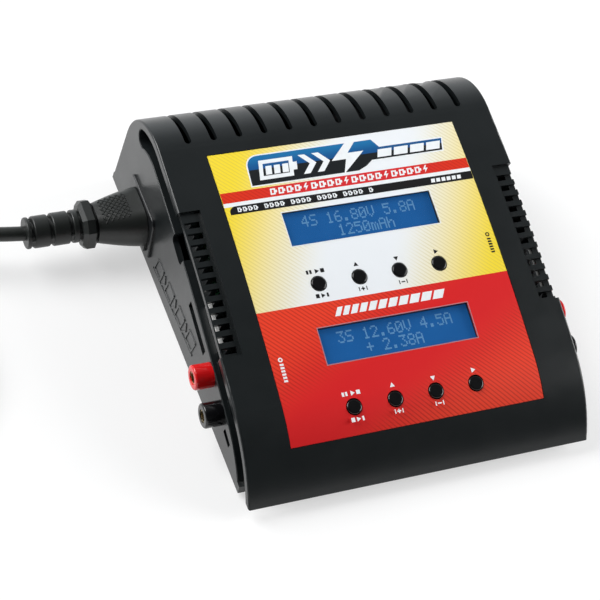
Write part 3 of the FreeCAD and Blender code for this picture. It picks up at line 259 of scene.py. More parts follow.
# ---------------------------------------------------------------- materials
class Shader:
    """A material on a Principled shader, with short ways to add what most finishes need."""

    def __init__(self, name, color, roughness, metallic=0.0, **sockets):
        self.material = bpy.data.materials.new(name)
        self.material.use_nodes = True
        self.tree = self.material.node_tree
        self.bsdf = self.tree.nodes["Principled BSDF"]
        self.color = color
        self.roughness = roughness
        self.bsdf.inputs["Base Color"].default_value = (*color, 1.0)
        self.bsdf.inputs["Roughness"].default_value = roughness
        self.bsdf.inputs["Metallic"].default_value = metallic
        for socket, value in sockets.items():
            self.bsdf.inputs[socket.replace("_", " ")].default_value = value
        self.place = self.tree.nodes.new("ShaderNodeTexCoord").outputs["Object"]

    def plug(self, value, socket):
        if isinstance(value, bpy.types.NodeSocket):
            self.tree.links.new(value, socket)
        else:
            socket.default_value = value

    def math(self, operation, *values):
        node = self.tree.nodes.new("ShaderNodeMath")
        node.operation = operation
        for value, socket in zip(values, node.inputs):
            self.plug(value, socket)
        return node.outputs[0]

    def dot(self, direction, offset=0.0):
        """Distance along a direction, in millimetres, plus an offset."""
        node = self.tree.nodes.new("ShaderNodeVectorMath")
        node.operation = "DOT_PRODUCT"
        self.plug(self.place, node.inputs[0])
        node.inputs[1].default_value = [d / MM for d in direction]
        return self.math("ADD", node.outputs["Value"], offset)

    def ramp(self, value, low, high, out_low=0.0, out_high=1.0):
        return smooth_step(self.tree, value, (low, high), (out_low, out_high))

    def mix(self, factor, a, b):
        node = self.tree.nodes.new("ShaderNodeMix")
        node.data_type = "RGBA"
        self.plug(factor, node.inputs["Factor"])
        for value, socket in ((a, node.inputs[6]), (b, node.inputs[7])):
            self.plug((*value, 1.0) if isinstance(value, tuple) else value, socket)
        return node.outputs[2]

    def noise(self, scale, detail=2.0, stretch=None):
        node = self.tree.nodes.new("ShaderNodeTexNoise")
        node.inputs["Scale"].default_value = scale
        node.inputs["Detail"].default_value = detail
        place = self.place
        if stretch:
            mapping = self.tree.nodes.new("ShaderNodeMapping")
            mapping.inputs["Scale"].default_value = stretch
            self.plug(place, mapping.inputs["Vector"])
            place = mapping.outputs["Vector"]
        self.plug(place, node.inputs["Vector"])
        return node.outputs["Fac"]

    def wave(self, direction, scale, distortion=0.0):
        """Parallel bands, 0 to 1."""
        node = self.tree.nodes.new("ShaderNodeTexWave")
        node.bands_direction = direction
        node.inputs["Scale"].default_value = scale
        node.inputs["Distortion"].default_value = distortion
        self.plug(self.place, node.inputs["Vector"])
        return node.outputs["Fac"]

    def base(self, color):
        self.plug(color, self.bsdf.inputs["Base Color"])

    def mottle(self, other, scale):
        """Vary the base colour gently towards another."""
        patches = self.ramp(self.noise(scale, detail=3.0), 0.3, 0.7)
        self.base(self.mix(patches, self.color, other))

    def wear(self, scale, amount):
        """Vary the roughness by amount either way."""
        low, high = self.roughness - amount, self.roughness + amount
        rough = self.ramp(self.noise(scale, detail=4.0), 0.3, 0.7, low, high)
        self.plug(rough, self.bsdf.inputs["Roughness"])

    def glow(self, color, strength):
        self.bsdf.inputs["Emission Color"].default_value = (*color, 1.0)
        self.bsdf.inputs["Emission Strength"].default_value = strength

    def bump(self, height, depth, strength=1.0):
        """Fine relief; depth is in metres."""
        node = self.tree.nodes.new("ShaderNodeBump")
        node.inputs["Strength"].default_value = strength
        node.inputs["Distance"].default_value = depth
        self.plug(height, node.inputs["Height"])
        self.plug(node.outputs["Normal"], self.bsdf.inputs["Normal"])


def moulded(name, color, roughness, grain=2600.0, depth=0.00003):
    """Moulded plastic with a fine spark-eroded grain."""
    shader = Shader(name, color, roughness)
    shader.mottle(tuple(1.15 * c + 0.0003 for c in color), scale=55.0)
    shader.wear(scale=90.0, amount=0.015)
    shader.bump(shader.noise(grain, detail=3.0), depth)
    return shader.material


def glossy(name, color, roughness=0.16):
    """Polished plastic with faint flow marks."""
    shader = Shader(name, color, roughness)
    shader.mottle(tuple(0.8 * c for c in color), scale=160.0)
    shader.wear(scale=240.0, amount=0.04)
    shader.bump(shader.noise(420.0), depth=0.00001)
    return shader.material


def metal(name, color, roughness):
    """Bare or plated metal with fine machining lines."""
    shader = Shader(name, color, roughness, metallic=1.0)
    shader.mottle(tuple(0.72 * c for c in color), scale=300.0)
    shader.wear(scale=500.0, amount=0.08)
    shader.bump(shader.noise(900.0, stretch=(1.0, 1.0, 14.0)), depth=0.000012)
    return shader.material


def film(name, color):
    """The start of a printed finish on the overlay, with the film's slight orange peel."""
    shader = Shader(name, color, INK_ROUGHNESS, Specular_IOR_Level=INK_SPECULAR)
    shader.bump(shader.noise(PEEL_SCALE, detail=1.0), PEEL_DEPTH)
    return shader


def ink(name, color):
    """One printed colour."""
    shader = film(name, color)
    shader.mottle(tuple(0.95 * c for c in color), scale=400.0)
    return shader.material


def label_axes(shader):
    """The label's u and v at a point of the surface."""
    u = shader.dot((1.0, 0.0, 0.0), LABEL_W / 2)
    slope = (0.0, math.cos(PANEL_TILT), math.sin(PANEL_TILT))
    origin = PANEL_Y * slope[1] + PANEL_Z * slope[2]
    s = shader.dot(slope, -origin)
    v = shader.math("SUBTRACT", LABEL_L / 2, s)
    return u, v


def hatch(shader, u, v):
    """Thin lines that run down to the right, 0 between them and 1 on them."""
    across = shader.math("MULTIPLY", shader.math("SUBTRACT", u, v), 0.7071 / HATCH_PITCH)
    wave = shader.math("SINE", shader.math("MULTIPLY", across, 2 * math.pi))
    return shader.ramp(wave, 0.1, 0.95)


def overlay():
    """Two-tone film: yellow fading to white above, red turning orange below, both hatched."""
    white, yellow, olive = (0.79, 0.82, 0.85), (0.86, 0.66, 0.035), (0.50, 0.40, 0.09)
    red, orange, maroon = (0.64, 0.010, 0.012), (0.78, 0.048, 0.018), (0.30, 0.008, 0.006)
    shader = film("label_overlay", (0.8, 0.8, 0.8))
    u, v = label_axes(shader)
    lines = hatch(shader, u, v)
    lean = shader.math("MULTIPLY_ADD", v, FADE_LEAN, -FADE_PLACE)
    fade = shader.ramp(shader.math("ABSOLUTE", shader.math("ADD", u, lean)), *FADE_REACH)
    fade_lines = shader.math("MULTIPLY", lines, shader.ramp(fade, 0.02, 0.3, 0.0, 0.30))
    upper = shader.mix(fade_lines, shader.mix(fade, white, yellow), olive)
    diagonal = shader.math("MULTIPLY_ADD", u, WARM_U, -WARM_PLACE)
    diagonal = shader.math("MULTIPLY_ADD", v, WARM_V, diagonal)
    warm = shader.ramp(shader.math("ABSOLUTE", diagonal), *WARM_REACH)
    warm_lines = shader.math("MULTIPLY", lines, shader.ramp(warm, 0.02, 0.4, 0.0, 0.5))
    lower = shader.mix(warm_lines, shader.mix(warm, red, orange), maroon)
    below = shader.math("GREATER_THAN", v, TWO_TONE_V)
    shader.base(shader.mix(below, upper, lower))
    return shader.material


def stripe_ink():
    """The red band: orange and hatched at its ends, pinker in the middle."""
    pink, orange, maroon = (0.62, 0.020, 0.024), (0.66, 0.028, 0.008), (0.36, 0.012, 0.006)
    middle_u = 56.0
    shader = film("ink_stripe", (0.7, 0.05, 0.03))
    u, v = label_axes(shader)
    from_middle = shader.math("ABSOLUTE", shader.math("SUBTRACT", u, middle_u))
    ends = shader.ramp(from_middle, 16.0, 50.0)
    lines = shader.math("MULTIPLY", hatch(shader, u, v), shader.ramp(ends, 0.1, 0.6, 0.0, 0.4))
    shader.base(shader.mix(lines, shader.mix(ends, pink, orange), maroon))
    return shader.material


def banner_ink():
    """Blue above and black below, with a soft glow along the top."""
    light_blue, deep_blue, black = (0.010, 0.15, 0.36), (0.003, 0.070, 0.23), (0.007, 0.009, 0.011)
    shader = film("ink_banner", (0.02, 0.16, 0.38))
    _, v = label_axes(shader)
    blue = shader.mix(shader.ramp(v, 3.0, 9.0), light_blue, deep_blue)
    shader.base(shader.mix(shader.math("GREATER_THAN", v, BANNER_BLACK_V), blue, black))
    return shader.material


def display_blue():
    """Backlit display: blue, a little uneven."""
    shader = Shader("display_blue", (0.006, 0.085, 0.27), 0.35, Specular_IOR_Level=0.2)
    shader.mottle((0.008, 0.10, 0.31), scale=60.0)
    shader.glow((0.006, 0.095, 0.33), 0.5)
    return shader.material


def display_dots():
    """Pale dots of the display's characters."""
    shader = Shader("display_dots", (0.10, 0.27, 0.50), 0.4, Specular_IOR_Level=0.2)
    shader.mottle((0.12, 0.30, 0.55), scale=90.0)
    shader.glow((0.11, 0.26, 0.45), 0.4)
    return shader.material


def window_clear():
    """Thin clear glazing: mostly see-through, with a faint reflection."""
    shader = Shader("window_clear", (0.02, 0.03, 0.04), 0.06, Alpha=0.12)
    shader.wear(scale=60.0, amount=0.03)
    shader.bump(shader.noise(90.0, detail=1.0), depth=0.000004)
    return shader.material


def circuit_board():
    """Green solder mask over faint copper tracks."""
    shader = Shader("circuit_board", (0.010, 0.10, 0.040), 0.38)
    brick = shader.tree.nodes.new("ShaderNodeTexBrick")
    brick.inputs["Scale"].default_value = 160.0
    brick.inputs["Mortar Size"].default_value = 0.05
    brick.inputs["Color1"].default_value = (0.010, 0.10, 0.040, 1.0)
    brick.inputs["Color2"].default_value = (0.013, 0.13, 0.055, 1.0)
    brick.inputs["Mortar"].default_value = (0.05, 0.22, 0.09, 1.0)
    shader.plug(shader.place, brick.inputs["Vector"])
    shader.base(brick.outputs["Color"])
    shader.bump(brick.outputs["Fac"], depth=0.00004, strength=0.4)
    return shader.material


def winding():
    """Yellow tape and lacquered copper wire in close turns."""
    shader = Shader("winding", (0.62, 0.40, 0.05), 0.4)
    turns = shader.wave("Z", 420.0, distortion=1.5)
    shader.base(shader.mix(turns, (0.42, 0.16, 0.03), (0.70, 0.46, 0.06)))
    shader.bump(turns, depth=0.0001)
    return shader.material


def ribbon():
    """Grey flat cable with one ridge per wire."""
    shader = Shader("ribbon_grey", (0.34, 0.34, 0.36), 0.5)
    wires = shader.wave("X", 250.0)
    shader.base(shader.mix(wires, (0.20, 0.20, 0.22), (0.42, 0.42, 0.44)))
    shader.bump(wires, depth=0.0003)
    return shader.material


def woven_strap():
    """Black hook-and-loop strap."""
    shader = Shader("strap_black", (0.014, 0.014, 0.016), 0.75, Sheen_Weight=0.4)
    shader.mottle((0.03, 0.03, 0.034), scale=900.0)
    shader.bump(shader.noise(1600.0, detail=4.0), depth=0.0002)
    return shader.material


def header_nylon():
    """White nylon shroud, with the nylon inward of it painted dark as shade inside the header."""
    white, dark = (0.90, 0.90, 0.88), (0.012, 0.012, 0.013)
    blur = 0.1
    shader = Shader("nylon_white", white, 0.45)
    outward = shader.math("ABSOLUTE", shader.dot((1.0, 0.0, 0.0)))
    # painted shade: the nylon further in than the shroud's end is made dark
    shroud = shader.ramp(outward, HEADER_SHADE_X - blur, HEADER_SHADE_X + blur)
    shader.base(shader.mix(shroud, dark, white))
    shader.bump(shader.noise(900.0, detail=3.0), depth=0.00003)
    return shader.material


def paint(material, *names):
    for name in names:
        mesh = NODES[name].data
        mesh.materials.clear()
        mesh.materials.append(material)


def paint_cad_nodes():
    buttons = ["button_%s_%d" % (row, i) for row in ("upper", "lower") for i in (1, 2, 3, 4)]
    # outside
    paint(moulded("case_black", (0.0065, 0.0085, 0.0092), 0.30), "upper_case", "base_tray")
    paint(overlay(), "label_sheet")
    paint(window_clear(), "display_window_upper", "display_window_lower")
    paint(display_blue(), "lcd_glass_upper", "lcd_glass_lower")
    paint(glossy("button_black", (0.0045, 0.0045, 0.005), 0.14), *buttons)
    paint(glossy("jack_red", (0.80, 0.010, 0.012), 0.12), "jack_red_left", "jack_red_right")
    paint(glossy("jack_black", (0.006, 0.006, 0.007), 0.13),
          "jack_black_left", "jack_black_right")
    paint(header_nylon(), "balance_port_left", "balance_port_right")
    paint(moulded("socket_black", (0.008, 0.009, 0.010), 0.33),
          "ac_inlet", "dc_inlet", "probe_ports")
    paint(moulded("foot_rubber", (0.012, 0.012, 0.012), 0.8, 1400.0, 0.0001), "rubber_feet")
    # contacts and fixings
    paint(metal("nickel", (0.68, 0.66, 0.60), 0.2),
          "ac_inlet_pins", "dc_inlet_pins", "balance_pins")
    paint(metal("brass", (0.70, 0.58, 0.34), 0.24),
          "jack_sleeves", "connector_contacts", "plug_blades")
    paint(metal("zinc", (0.55, 0.55, 0.56), 0.32),
          "display_screws", "board_screws", "case_screws", "jack_nuts")
    # inside
    paint(metal("bezel_black", (0.02, 0.02, 0.02), 0.45), "lcd_bezel_upper", "lcd_bezel_lower")
    paint(circuit_board(), "lcd_board_upper", "lcd_board_lower", "display_board", "main_board")
    paint(moulded("switch_black", (0.010, 0.010, 0.010), 0.35),
          "button_switches", "processor_chip", "power_transistors")
    paint(winding(), "power_transformer", "output_inductors", "line_choke")
    paint(glossy("sleeve_blue", (0.015, 0.02, 0.07)), "main_capacitor", "output_capacitors")
    paint(metal("fin_aluminium", (0.66, 0.66, 0.68), 0.35), "heat_sink")
    paint(glossy("fuse_glass", (0.55, 0.58, 0.58), 0.1), "line_fuse")
    paint(ribbon(), "ribbon_cable")
    paint(moulded("fan_black", (0.012, 0.012, 0.013), 0.35), "fan_frame", "fan_rotor")


# ---------------------------------------------------------------- mesh helpers
def finish_mesh(name, build, material, body):
    """A new object from a bmesh, smooth below an angle, riding on a body."""
    bmesh.ops.recalc_face_normals(build, faces=build.faces[:])
    mesh = bpy.data.meshes.new(name)
    build.to_mesh(mesh)
    build.free()
    mesh.shade_smooth()
    mesh.set_sharp_from_angle(angle=SMOOTH_ANGLE)
    mesh.materials.append(material)
    piece = bpy.data.objects.new(name, mesh)
    bpy.context.scene.collection.objects.link(piece)
    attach(piece, body)
    return piece


def add_skin(build, rings, closed=False):
    """Faces between rings of places in metres: capped at both ends, or closed into a band."""
    made = [[build.verts.new(place) for place in outline] for outline in rings]
    pairs = list(zip(made, made[1:]))
    if closed:
        pairs.append((made[-1], made[0]))
    else:
        build.faces.new(made[0])
        build.faces.new(made[-1])
    for a, b in pairs:
        for i in range(len(a)):
            j = (i + 1) % len(a)
            build.faces.new((a[i], a[j], b[j], b[i]))


def add_ridge(build, start, end, width, height, normal):
    """A tapered ridge between two points of a surface."""
    start, end, normal = Vector(start), Vector(end), Vector(normal).normalized()
    side = (end - start).normalized().cross(normal) * width / 2
    rings = []
    for rise, spread in ((-RIDGE_SUNK, 1.0), (height, RIDGE_TAPER)):
        rings.append([(place + normal * rise + side * sign * spread) * MM
                      for place, sign in ((start, 1), (start, -1), (end, -1), (end, 1))])
    add_skin(build, rings)


def panel_point(x, s, h):
    """A place on the sloping panel, in metres."""
    y = PANEL_Y + s * math.cos(PANEL_TILT) - h * math.sin(PANEL_TILT)
    z = PANEL_Z + s * math.sin(PANEL_TILT) + h * math.cos(PANEL_TILT)
    return Vector((x, y, z)) * MM


def label_point(u, v, lift):
    """A place on the curved label, lift millimetres above it."""
    s = LABEL_L / 2 - v
    h = math.sqrt(LABEL_R ** 2 - s ** 2) - (ARCH_R - LABEL_RECESS) + lift
    return panel_point(u - LABEL_W / 2, s, h)


def extruded(polygons, thickness):
    """A bmesh of flat outlines in XY, cut into slices and thickened downwards from z = 0."""
    build = bmesh.new()
    for polygon in polygons:
        build.faces.new([build.verts.new((a, b, 0.0)) for a, b in polygon])
    for i in range(1, int(LABEL_L / SLICE)):
        geometry = build.verts[:] + build.edges[:] + build.faces[:]
        bmesh.ops.bisect_plane(build, geom=geometry, plane_co=(0, i * SLICE, 0),
                               plane_no=(0, 1, 0))
    bmesh.ops.triangulate(build, faces=build.faces[:])
    top = build.faces[:]
    made = bmesh.ops.extrude_face_region(build, geom=top, use_keep_orig=True)
    lower = [item for item in made["geom"] if isinstance(item, bmesh.types.BMVert)]
    bmesh.ops.translate(build, verts=lower, vec=(0, 0, -thickness))
    return build


def printed(name, polygons, material, lift=LIFT_PLAIN):
    """Ink shapes on the label, given as outlines in (u, v)."""
    build = extruded(polygons, INK_T)
    for vert in build.verts:
        vert.co = label_point(vert.co.x, vert.co.y, lift + vert.co.z)
    finish_mesh(name, build, material, CASE)


# ---------------------------------------------------------------- outlines in u and v
def rectangle(u0, v0, u1, v1, slant=0.0):
    """Outline of a rectangle; slant moves its upper edge to the right."""
    return [(u0 + slant, v0), (u1 + slant, v0), (u1, v1), (u0, v1)]


def bar_row(count, u, pitch, width, v0, v1, slant):
    """A row of equal slanted bars."""
    lefts = [u + pitch * i for i in range(count)]
    return [rectangle(left, v0, left + width, v1, slant) for left in lefts]


def ring(u, v, outer, inner, count=16):
    """A round ring as quads."""
    quads = []
    for i in range(count):
        a, b = (2 * math.pi * k / count for k in (i, i + 1))
        quads.append([(u + radius * math.cos(angle), v + radius * math.sin(angle))
                      for radius, angle in ((outer, a), (outer, b), (inner, b), (inner, a))])
    return quads


def border(u0, v0, u1, v1, width):
    """A rectangular line as four strips."""
    return [rectangle(u0, v0, u1, v0 + width),
            rectangle(u0, v1 - width, u1, v1),
            rectangle(u0, v0 + width, u0 + width, v1 - width),
            rectangle(u1 - width, v0 + width, u1, v1 - width)]


def quarter_arc(u, v, radius, count=8):
    """Points of a circle's upper left quarter, from its left end to its top."""
    angles = [math.radians(180 - 90 * i / count) for i in range(count + 1)]
    return [(u + radius * math.cos(a), v - radius * math.sin(a)) for a in angles]


def battery_mark(u, v, width, height, line, slant):
    """Outline of a cell with its cap, leaning right by slant."""
    def strip(u0, v0, u1, v1):
        lean0, lean1 = (slant * (1 - (w - v) / height) for w in (v0, v1))
        return [(u0 + lean0, v0), (u1 + lean0, v0), (u1 + lean1, v1), (u0 + lean1, v1)]
    right, foot = u + width, v + height
    return [strip(u, v, right, v + line),
            strip(u, foot - line, right, foot),
            strip(u, v + line, u + line, foot - line),
            strip(right - line, v + line, right, foot - line),
            strip(right, v + height * 0.3, right + line, v + height * 0.7)]


def bolt(u, v, width, height):
    """A lightning bolt."""
    shape = ((0.62, 0.0), (0.10, 0.56), (0.46, 0.56), (0.30, 1.0),
             (0.95, 0.38), (0.55, 0.38), (0.86, 0.0))
    return [(u + a * width, v + b * height) for a, b in shape]


def chevron(u, v, width, height, line):
    """An arrow head that points right."""
    middle, foot, tip = v + height / 2, v + height, u + width
    return [[(u, v), (u + line, v), (tip, middle), (tip - line, middle)],
            [(tip - line, middle), (tip, middle), (u + line, foot), (u, foot)]]


def triangle(u, v, size, turn):
    """A small solid triangle that points to the turn's angle, in degrees."""
    angles = [math.radians(turn + 120 * i) for i in range(3)]
    return [(u + size * math.cos(a), v - size * math.sin(a)) for a in angles]


# ---------------------------------------------------------------- label graphics
def banner_outline(grow):
    """The tall left part of the banner, stepping to a narrow right part."""
    left, foot = 14.9 - grow, 16.3 + grow
    top, low_top, low_foot = 3.0 - grow, 6.9 - grow, 12.4 + grow
    radius = 5.0 + grow
    points = [(left - 0.6, foot)] + quarter_arc(left + radius, top + radius, radius)
    points += [(70.0, top), (72.5, low_top), (100.6 + grow, low_top), (99.2 + grow, low_foot)]
    points += [(67.5, low_foot), (64.5, 14.6 + grow), (60.5, foot)]
    return points


def add_banner(white):
    """The banner with a cell, two arrow heads, a bolt and a row of bars."""
    printed("banner_edge", [banner_outline(0.55)], white, LIFT_EDGE)
    printed("banner_fill", [banner_outline(0.0)], banner_ink(), LIFT_FILL)
    top, height = 5.4, 8.9
    marks = battery_mark(18.2, top, 14.6, height, line=1.7, slant=1.8)
    marks += bar_row(3, u=21.4, pitch=3.6, width=2.6, v0=8.3, v1=12.2, slant=0.8)
    for u in (37.0, 43.0):
        marks += chevron(u, top, 6.8, height, line=2.9)
    marks.append(bolt(48.6, 1.9, 17.5, 15.0))
    marks += bar_row(4, u=70.2, pitch=7.3, width=6.2, v0=8.0, v1=11.6, slant=1.3)
    printed("banner_marks", marks, white, LIFT_MARK)


def add_stripes(white, black):
    """A red and a black band across the label, both with rows of small cells."""
    edge = 0.15
    right = LABEL_W - edge
    printed("stripe_gap", [rectangle(edge, 22.0, right, 24.1)], white, LIFT_GAP)
    printed("stripe_red", [rectangle(edge, 17.7, right, 22.3)], stripe_ink(), LIFT_FILL)
    black_left, black_top, black_foot, radius = 1.9, 24.0, 27.6, 2.7
    black_band = [(black_left, black_foot)]
    black_band += quarter_arc(black_left + radius, black_top + radius, radius)
    black_band += [(right, black_top), (right, black_foot)]
    printed("stripe_black", [black_band], black, LIFT_FILL)
    cells = []
    for i in range(20):
        u = 20.5 + 3.52 * i
        if i % 5 == 4:
            cells.append(bolt(u, 18.3, 2.7, 3.4))
        else:
            cells += battery_mark(u, 18.6, 2.2, 2.8, line=0.66, slant=0.4)
    printed("stripe_marks", cells, white, LIFT_MARK)
    ticks = []
    for i in range(26):
        if i % 5 != 4:
            ticks += battery_mark(5.2 + 2.26 * i, 24.8, 1.35, 1.95, line=0.42, slant=0.0)
    ticks += bar_row(6, u=89.2, pitch=2.35, width=1.7, v0=25.0, v1=26.7, slant=0.3)
    printed("stripe_ticks", ticks, white, LIFT_MARK)


def add_window_frames(white, pale_red):
    """A thin printed line round each display."""
    gap, width = 0.05, 0.32
    grow = gap + width
    for row, ink_used in (("upper", white), ("lower", pale_red)):
        v0, v1 = WINDOW_V[row]
        line = border(WINDOW_U[0] - grow, v0 - grow, WINDOW_U[1] + grow, v1 + grow, width)
        printed("window_line_" + row, line, ink_used, LIFT_LINE)


def add_charge_bars(white):
    """A row of slanted bars between the two halves, each a little wider than the last."""
    bars = []
    u = 31.0
    for i in range(11):
        width = 2.2 + 0.22 * i
        bars.append(rectangle(u, 73.0, u + width, 76.6, slant=2.0))
        u += width + 1.0
    printed("charge_bars", bars, white)


def legend_shapes(row):
    """Small symbols above and below each button: start and stop, up, down, next."""
    first, second, third, fourth = BUTTON_U
    top, foot = BUTTON_V[row] - 5.3, BUTTON_V[row] + 5.1
    tall, arm, line = 0.85, 0.8, 0.5
    half = line / 2

    def blocks(u, v, spans):
        return [rectangle(u + a, v - tall, u + b, v + tall) for a, b in spans]

    shapes = blocks(first, top, ((-3.8, -2.9), (-2.4, -1.5), (2.2, 3.8)))
    shapes.append(triangle(first + 0.5, top, 1.15, 0))
    shapes += blocks(first, foot, ((-2.7, -1.2), (1.9, 2.7)))
    shapes.append(triangle(first + 0.2, foot, 1.1, 0))
    shapes += [triangle(u, top, 1.2, turn) for u, turn in ((second, 90), (third, 270), (fourth, 0))]
    for u, upright in ((second, True), (third, False)):
        shapes.append(rectangle(u - arm, foot - half, u + arm, foot + half))
        if upright:
            shapes += [rectangle(u - half, foot - arm, u + half, foot - half),
                       rectangle(u - half, foot + half, u + half, foot + arm)]
        shapes += blocks(u, foot, ((-1.8, -1.4), (1.4, 1.8)))
    return shapes


def side_legend(u, v0, v1, count=6):
    """An output symbol: a socket ring and a stack of strokes running up the edge."""
    first = v0 + 2.6
    pitch = (v1 - first) / count
    stroke = 0.62 * pitch
    shapes = ring(u, v0 + 1.0, 0.95, 0.45)
    for i in range(count):
        top = first + pitch * i
        shapes.append(rectangle(u - 0.8, top, u + 0.8, top + stroke))
    return shapes


def add_legends(white, black):
    printed("legend_upper", legend_shapes("upper"), black)
    printed("legend_lower", legend_shapes("lower"), white)
    printed("output_left", side_legend(4.2, 88.9, 99.4), white)
    printed("output_right", side_legend(105.2, 52.2, 61.8), black)


# ---------------------------------------------------------------- display characters
GLYPHS = {
    "0": "01110 10001 10011 10101 11001 10001 01110",
    "1": "00100 01100 00100 00100 00100 00100 01110",
    "2": "01110 10001 00001 00010 00100 01000 11111",
    "3": "11111 00010 00100 00010 00001 10001 01110",
    "4": "00010 00110 01010 10010 11111 00010 00010",
    "5": "11111 10000 11110 00001 00001 10001 01110",
    "6": "00110 01000 10000 11110 10001 10001 01110",
    "8": "01110 10001 10001 01110 10001 10001 01110",
    ".": "00000 00000 00000 00000 00000 01100 01100",
    "+": "00000 00100 00100 11111 00100 00100 00000",
    "A": "01110 10001 10001 11111 10001 10001 10001",
    "S": "01111 10000 10000 01110 00001 00001 11110",
    "V": "10001 10001 10001 10001 10001 01010 00100",
    "h": "10000 10000 10110 11001 10001 10001 10001",
    "m": "00000 00000 11010 10101 10101 10101 10101",
}
READOUTS = {"upper": (" 4S 16.80V 5.8A", "     1250mAh"),
            "lower": (" 3S 12.60V 4.5A", "    + 2.38A")}


def lit_dots(lines):
    """Place of every lit dot, in millimetres right and down from the first character."""
    for row, text in enumerate(lines):
        for column, letter in enumerate(text):
            for j, bits in enumerate(GLYPHS.get(letter, "").split()):
                for i, bit in enumerate(bits):
                    if bit == "1":
                        yield column * CELL_W + i * DOT_W, row * CELL_H + j * DOT_H


def add_readout(row, material):
    """Dot-matrix numbers on the display glass."""
    first_u = sum(WINDOW_U) / 2 - COLUMNS / 2 * CELL_W + TEXT_INSET_U
    first_v = sum(WINDOW_V[row]) / 2 - CELL_H + TEXT_INSET_V
    build = bmesh.new()
    for u, v in lit_dots(READOUTS[row]):
        x = first_u + u - LABEL_W / 2
        s = LABEL_L / 2 - (first_v + v)
        add_skin(build, [[panel_point(x + dx, s - ds, GLASS_H + h) for dx, ds in
                          ((0, 0), (DOT_SIZE_X, 0), (DOT_SIZE_X, DOT_SIZE_S), (0, DOT_SIZE_S))]
                         for h in (0.0, DOT_T)])
    finish_mesh("readout_" + row, build, material, CASE)


# ---------------------------------------------------------------- mains lead
def coil_points():
    """Turns of the coil: inwards along the table, up, and out again on top."""
    low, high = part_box("cord_coil")
    centre = (low + high) / 2 / MM
    outer = (high.x - low.x) / 2 / MM - CORD_R
    pitch = 2 * CORD_R
    inner = outer - COIL_RINGS * pitch
    points = []
    for k in range(int(COIL_TURNS * COIL_TURN_POINTS) + 1):
        turn = k / COIL_TURN_POINTS
        climb = min(max(turn - COIL_RINGS, 0.0), 1.0)
        radius = max(outer - pitch * turn, inner)
        radius = min(max(radius, inner + pitch * (turn - COIL_RINGS - 1)), outer)
        angle = math.radians(90.0 + 360.0 * turn)
        height = CORD_R + pitch * climb * climb * (3 - 2 * climb)
        points.append((centre.x + radius * math.cos(angle), centre.y + radius * math.sin(angle),
                       height))
    return points


def add_cord(material):
    """The cord as one spline from the connector through the coil to the plug."""
    route = list(CORD_ROUTE[:-1]) + coil_points() + list(TAIL_ROUTE[1:])
    curve = bpy.data.curves.new("mains_cord", "CURVE")
    curve.dimensions = "3D"
    spline = curve.splines.new("NURBS")
    spline.points.add(len(route) - 1)
    for point, place in zip(spline.points, route):
        point.co = (*[c * MM for c in place], 1.0)
    spline.order_u = 3
    spline.use_endpoint_u = True
    spline.resolution_u = 6
    curve.bevel_depth = CORD_R * MM
    curve.bevel_resolution = 6
    curve.use_fill_caps = True
    curve.materials.append(material)
    cord = bpy.data.objects.new("mains_cord", curve)
    bpy.context.scene.collection.objects.link(cord)
    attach(cord, LEAD)
    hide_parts("power_cord", "cord_coil", "cord_tail")


def grip_top(x, y):
    """Height of the connector's upper surface."""
    for first, last in zip(GRIP_SECTIONS, GRIP_SECTIONS[1:]):
        if last[0] <= x:
            break
    part = (x - first[0]) / (last[0] - first[0])
    width, height, corner = (a + part * (b - a) for a, b in zip(first[1:], last[1:]))
    beyond = max(abs(y - GRIP_AXIS[0]) - (width / 2 - corner), 0.0)
    return GRIP_AXIS[1] + height / 2 - corner + math.sqrt(max(corner ** 2 - beyond ** 2, 0.0))


def add_grip_texture(material):
    """Raised crossing ridges on the upper and lower face of the connector's grip."""
    (x0, x1), (y0, y1) = GRIP_PATCH
    count = int(((y1 - y0) + (x0 - x1)) / GRIP_PITCH) + 1
    build = bmesh.new()
    for slope, first_y in ((1.0, y0 - (x0 - x1)), (-1.0, y0)):
        for i in range(count):
            points = []
            for k in range(GRIP_SAMPLES + 1):
                x = x1 + (x0 - x1) * k / GRIP_SAMPLES
                y = first_y + GRIP_PITCH * i + slope * (x - x1)
                if y0 <= y <= y1:
                    points.append((x, y, grip_top(x, y)))
            for upper in zip(points[::GRIP_STRIDE], points[GRIP_STRIDE::GRIP_STRIDE]):
                lower = [(x, y, 2 * GRIP_AXIS[1] - z) for x, y, z in upper]
                add_ridge(build, *upper, GRIP_RIDGE_W, GRIP_RIDGE_H, (0, 0, 1))
                add_ridge(build, *lower, GRIP_RIDGE_W, GRIP_RIDGE_H, (0, 0, -1))
    return finish_mesh("connector_grip_texture", build, material, LEAD)


def plug_outline(centre_x, grow, per=6):
    """The plug's rounded section in x and z, grown all round."""
    corner = PLUG_CORNER + grow
    half_x, half_z = PLUG_HALF_X + grow - corner, PLUG_HALF_Z + grow - corner
    points = []
    for quarter, (sign_x, sign_z) in enumerate(((1, 1), (-1, 1), (-1, -1), (1, -1))):
        for i in range(per + 1):
            angle = math.radians(90.0 * (quarter + i / per))
            points.append((centre_x + sign_x * half_x + corner * math.cos(angle),
                           PLUG_AXIS_Z + sign_z * half_z + corner * math.sin(angle)))
    return points


def relief_outline(centre_x, radius):
    """The strain relief's round section in x and z."""
    angles = [2 * math.pi * k / RELIEF_POINTS for k in range(RELIEF_POINTS)]
    return [(centre_x + radius * math.cos(a), PLUG_AXIS_Z + radius * math.sin(a)) for a in angles]


def rib_profile(y, width, bevel, sunk, shoulder, top):
    """Places along y and heights across one raised rib."""
    return ((y, -sunk), (y, shoulder), (y - bevel, top),
            (y - width + bevel, top), (y - width, shoulder), (y - width, -sunk))


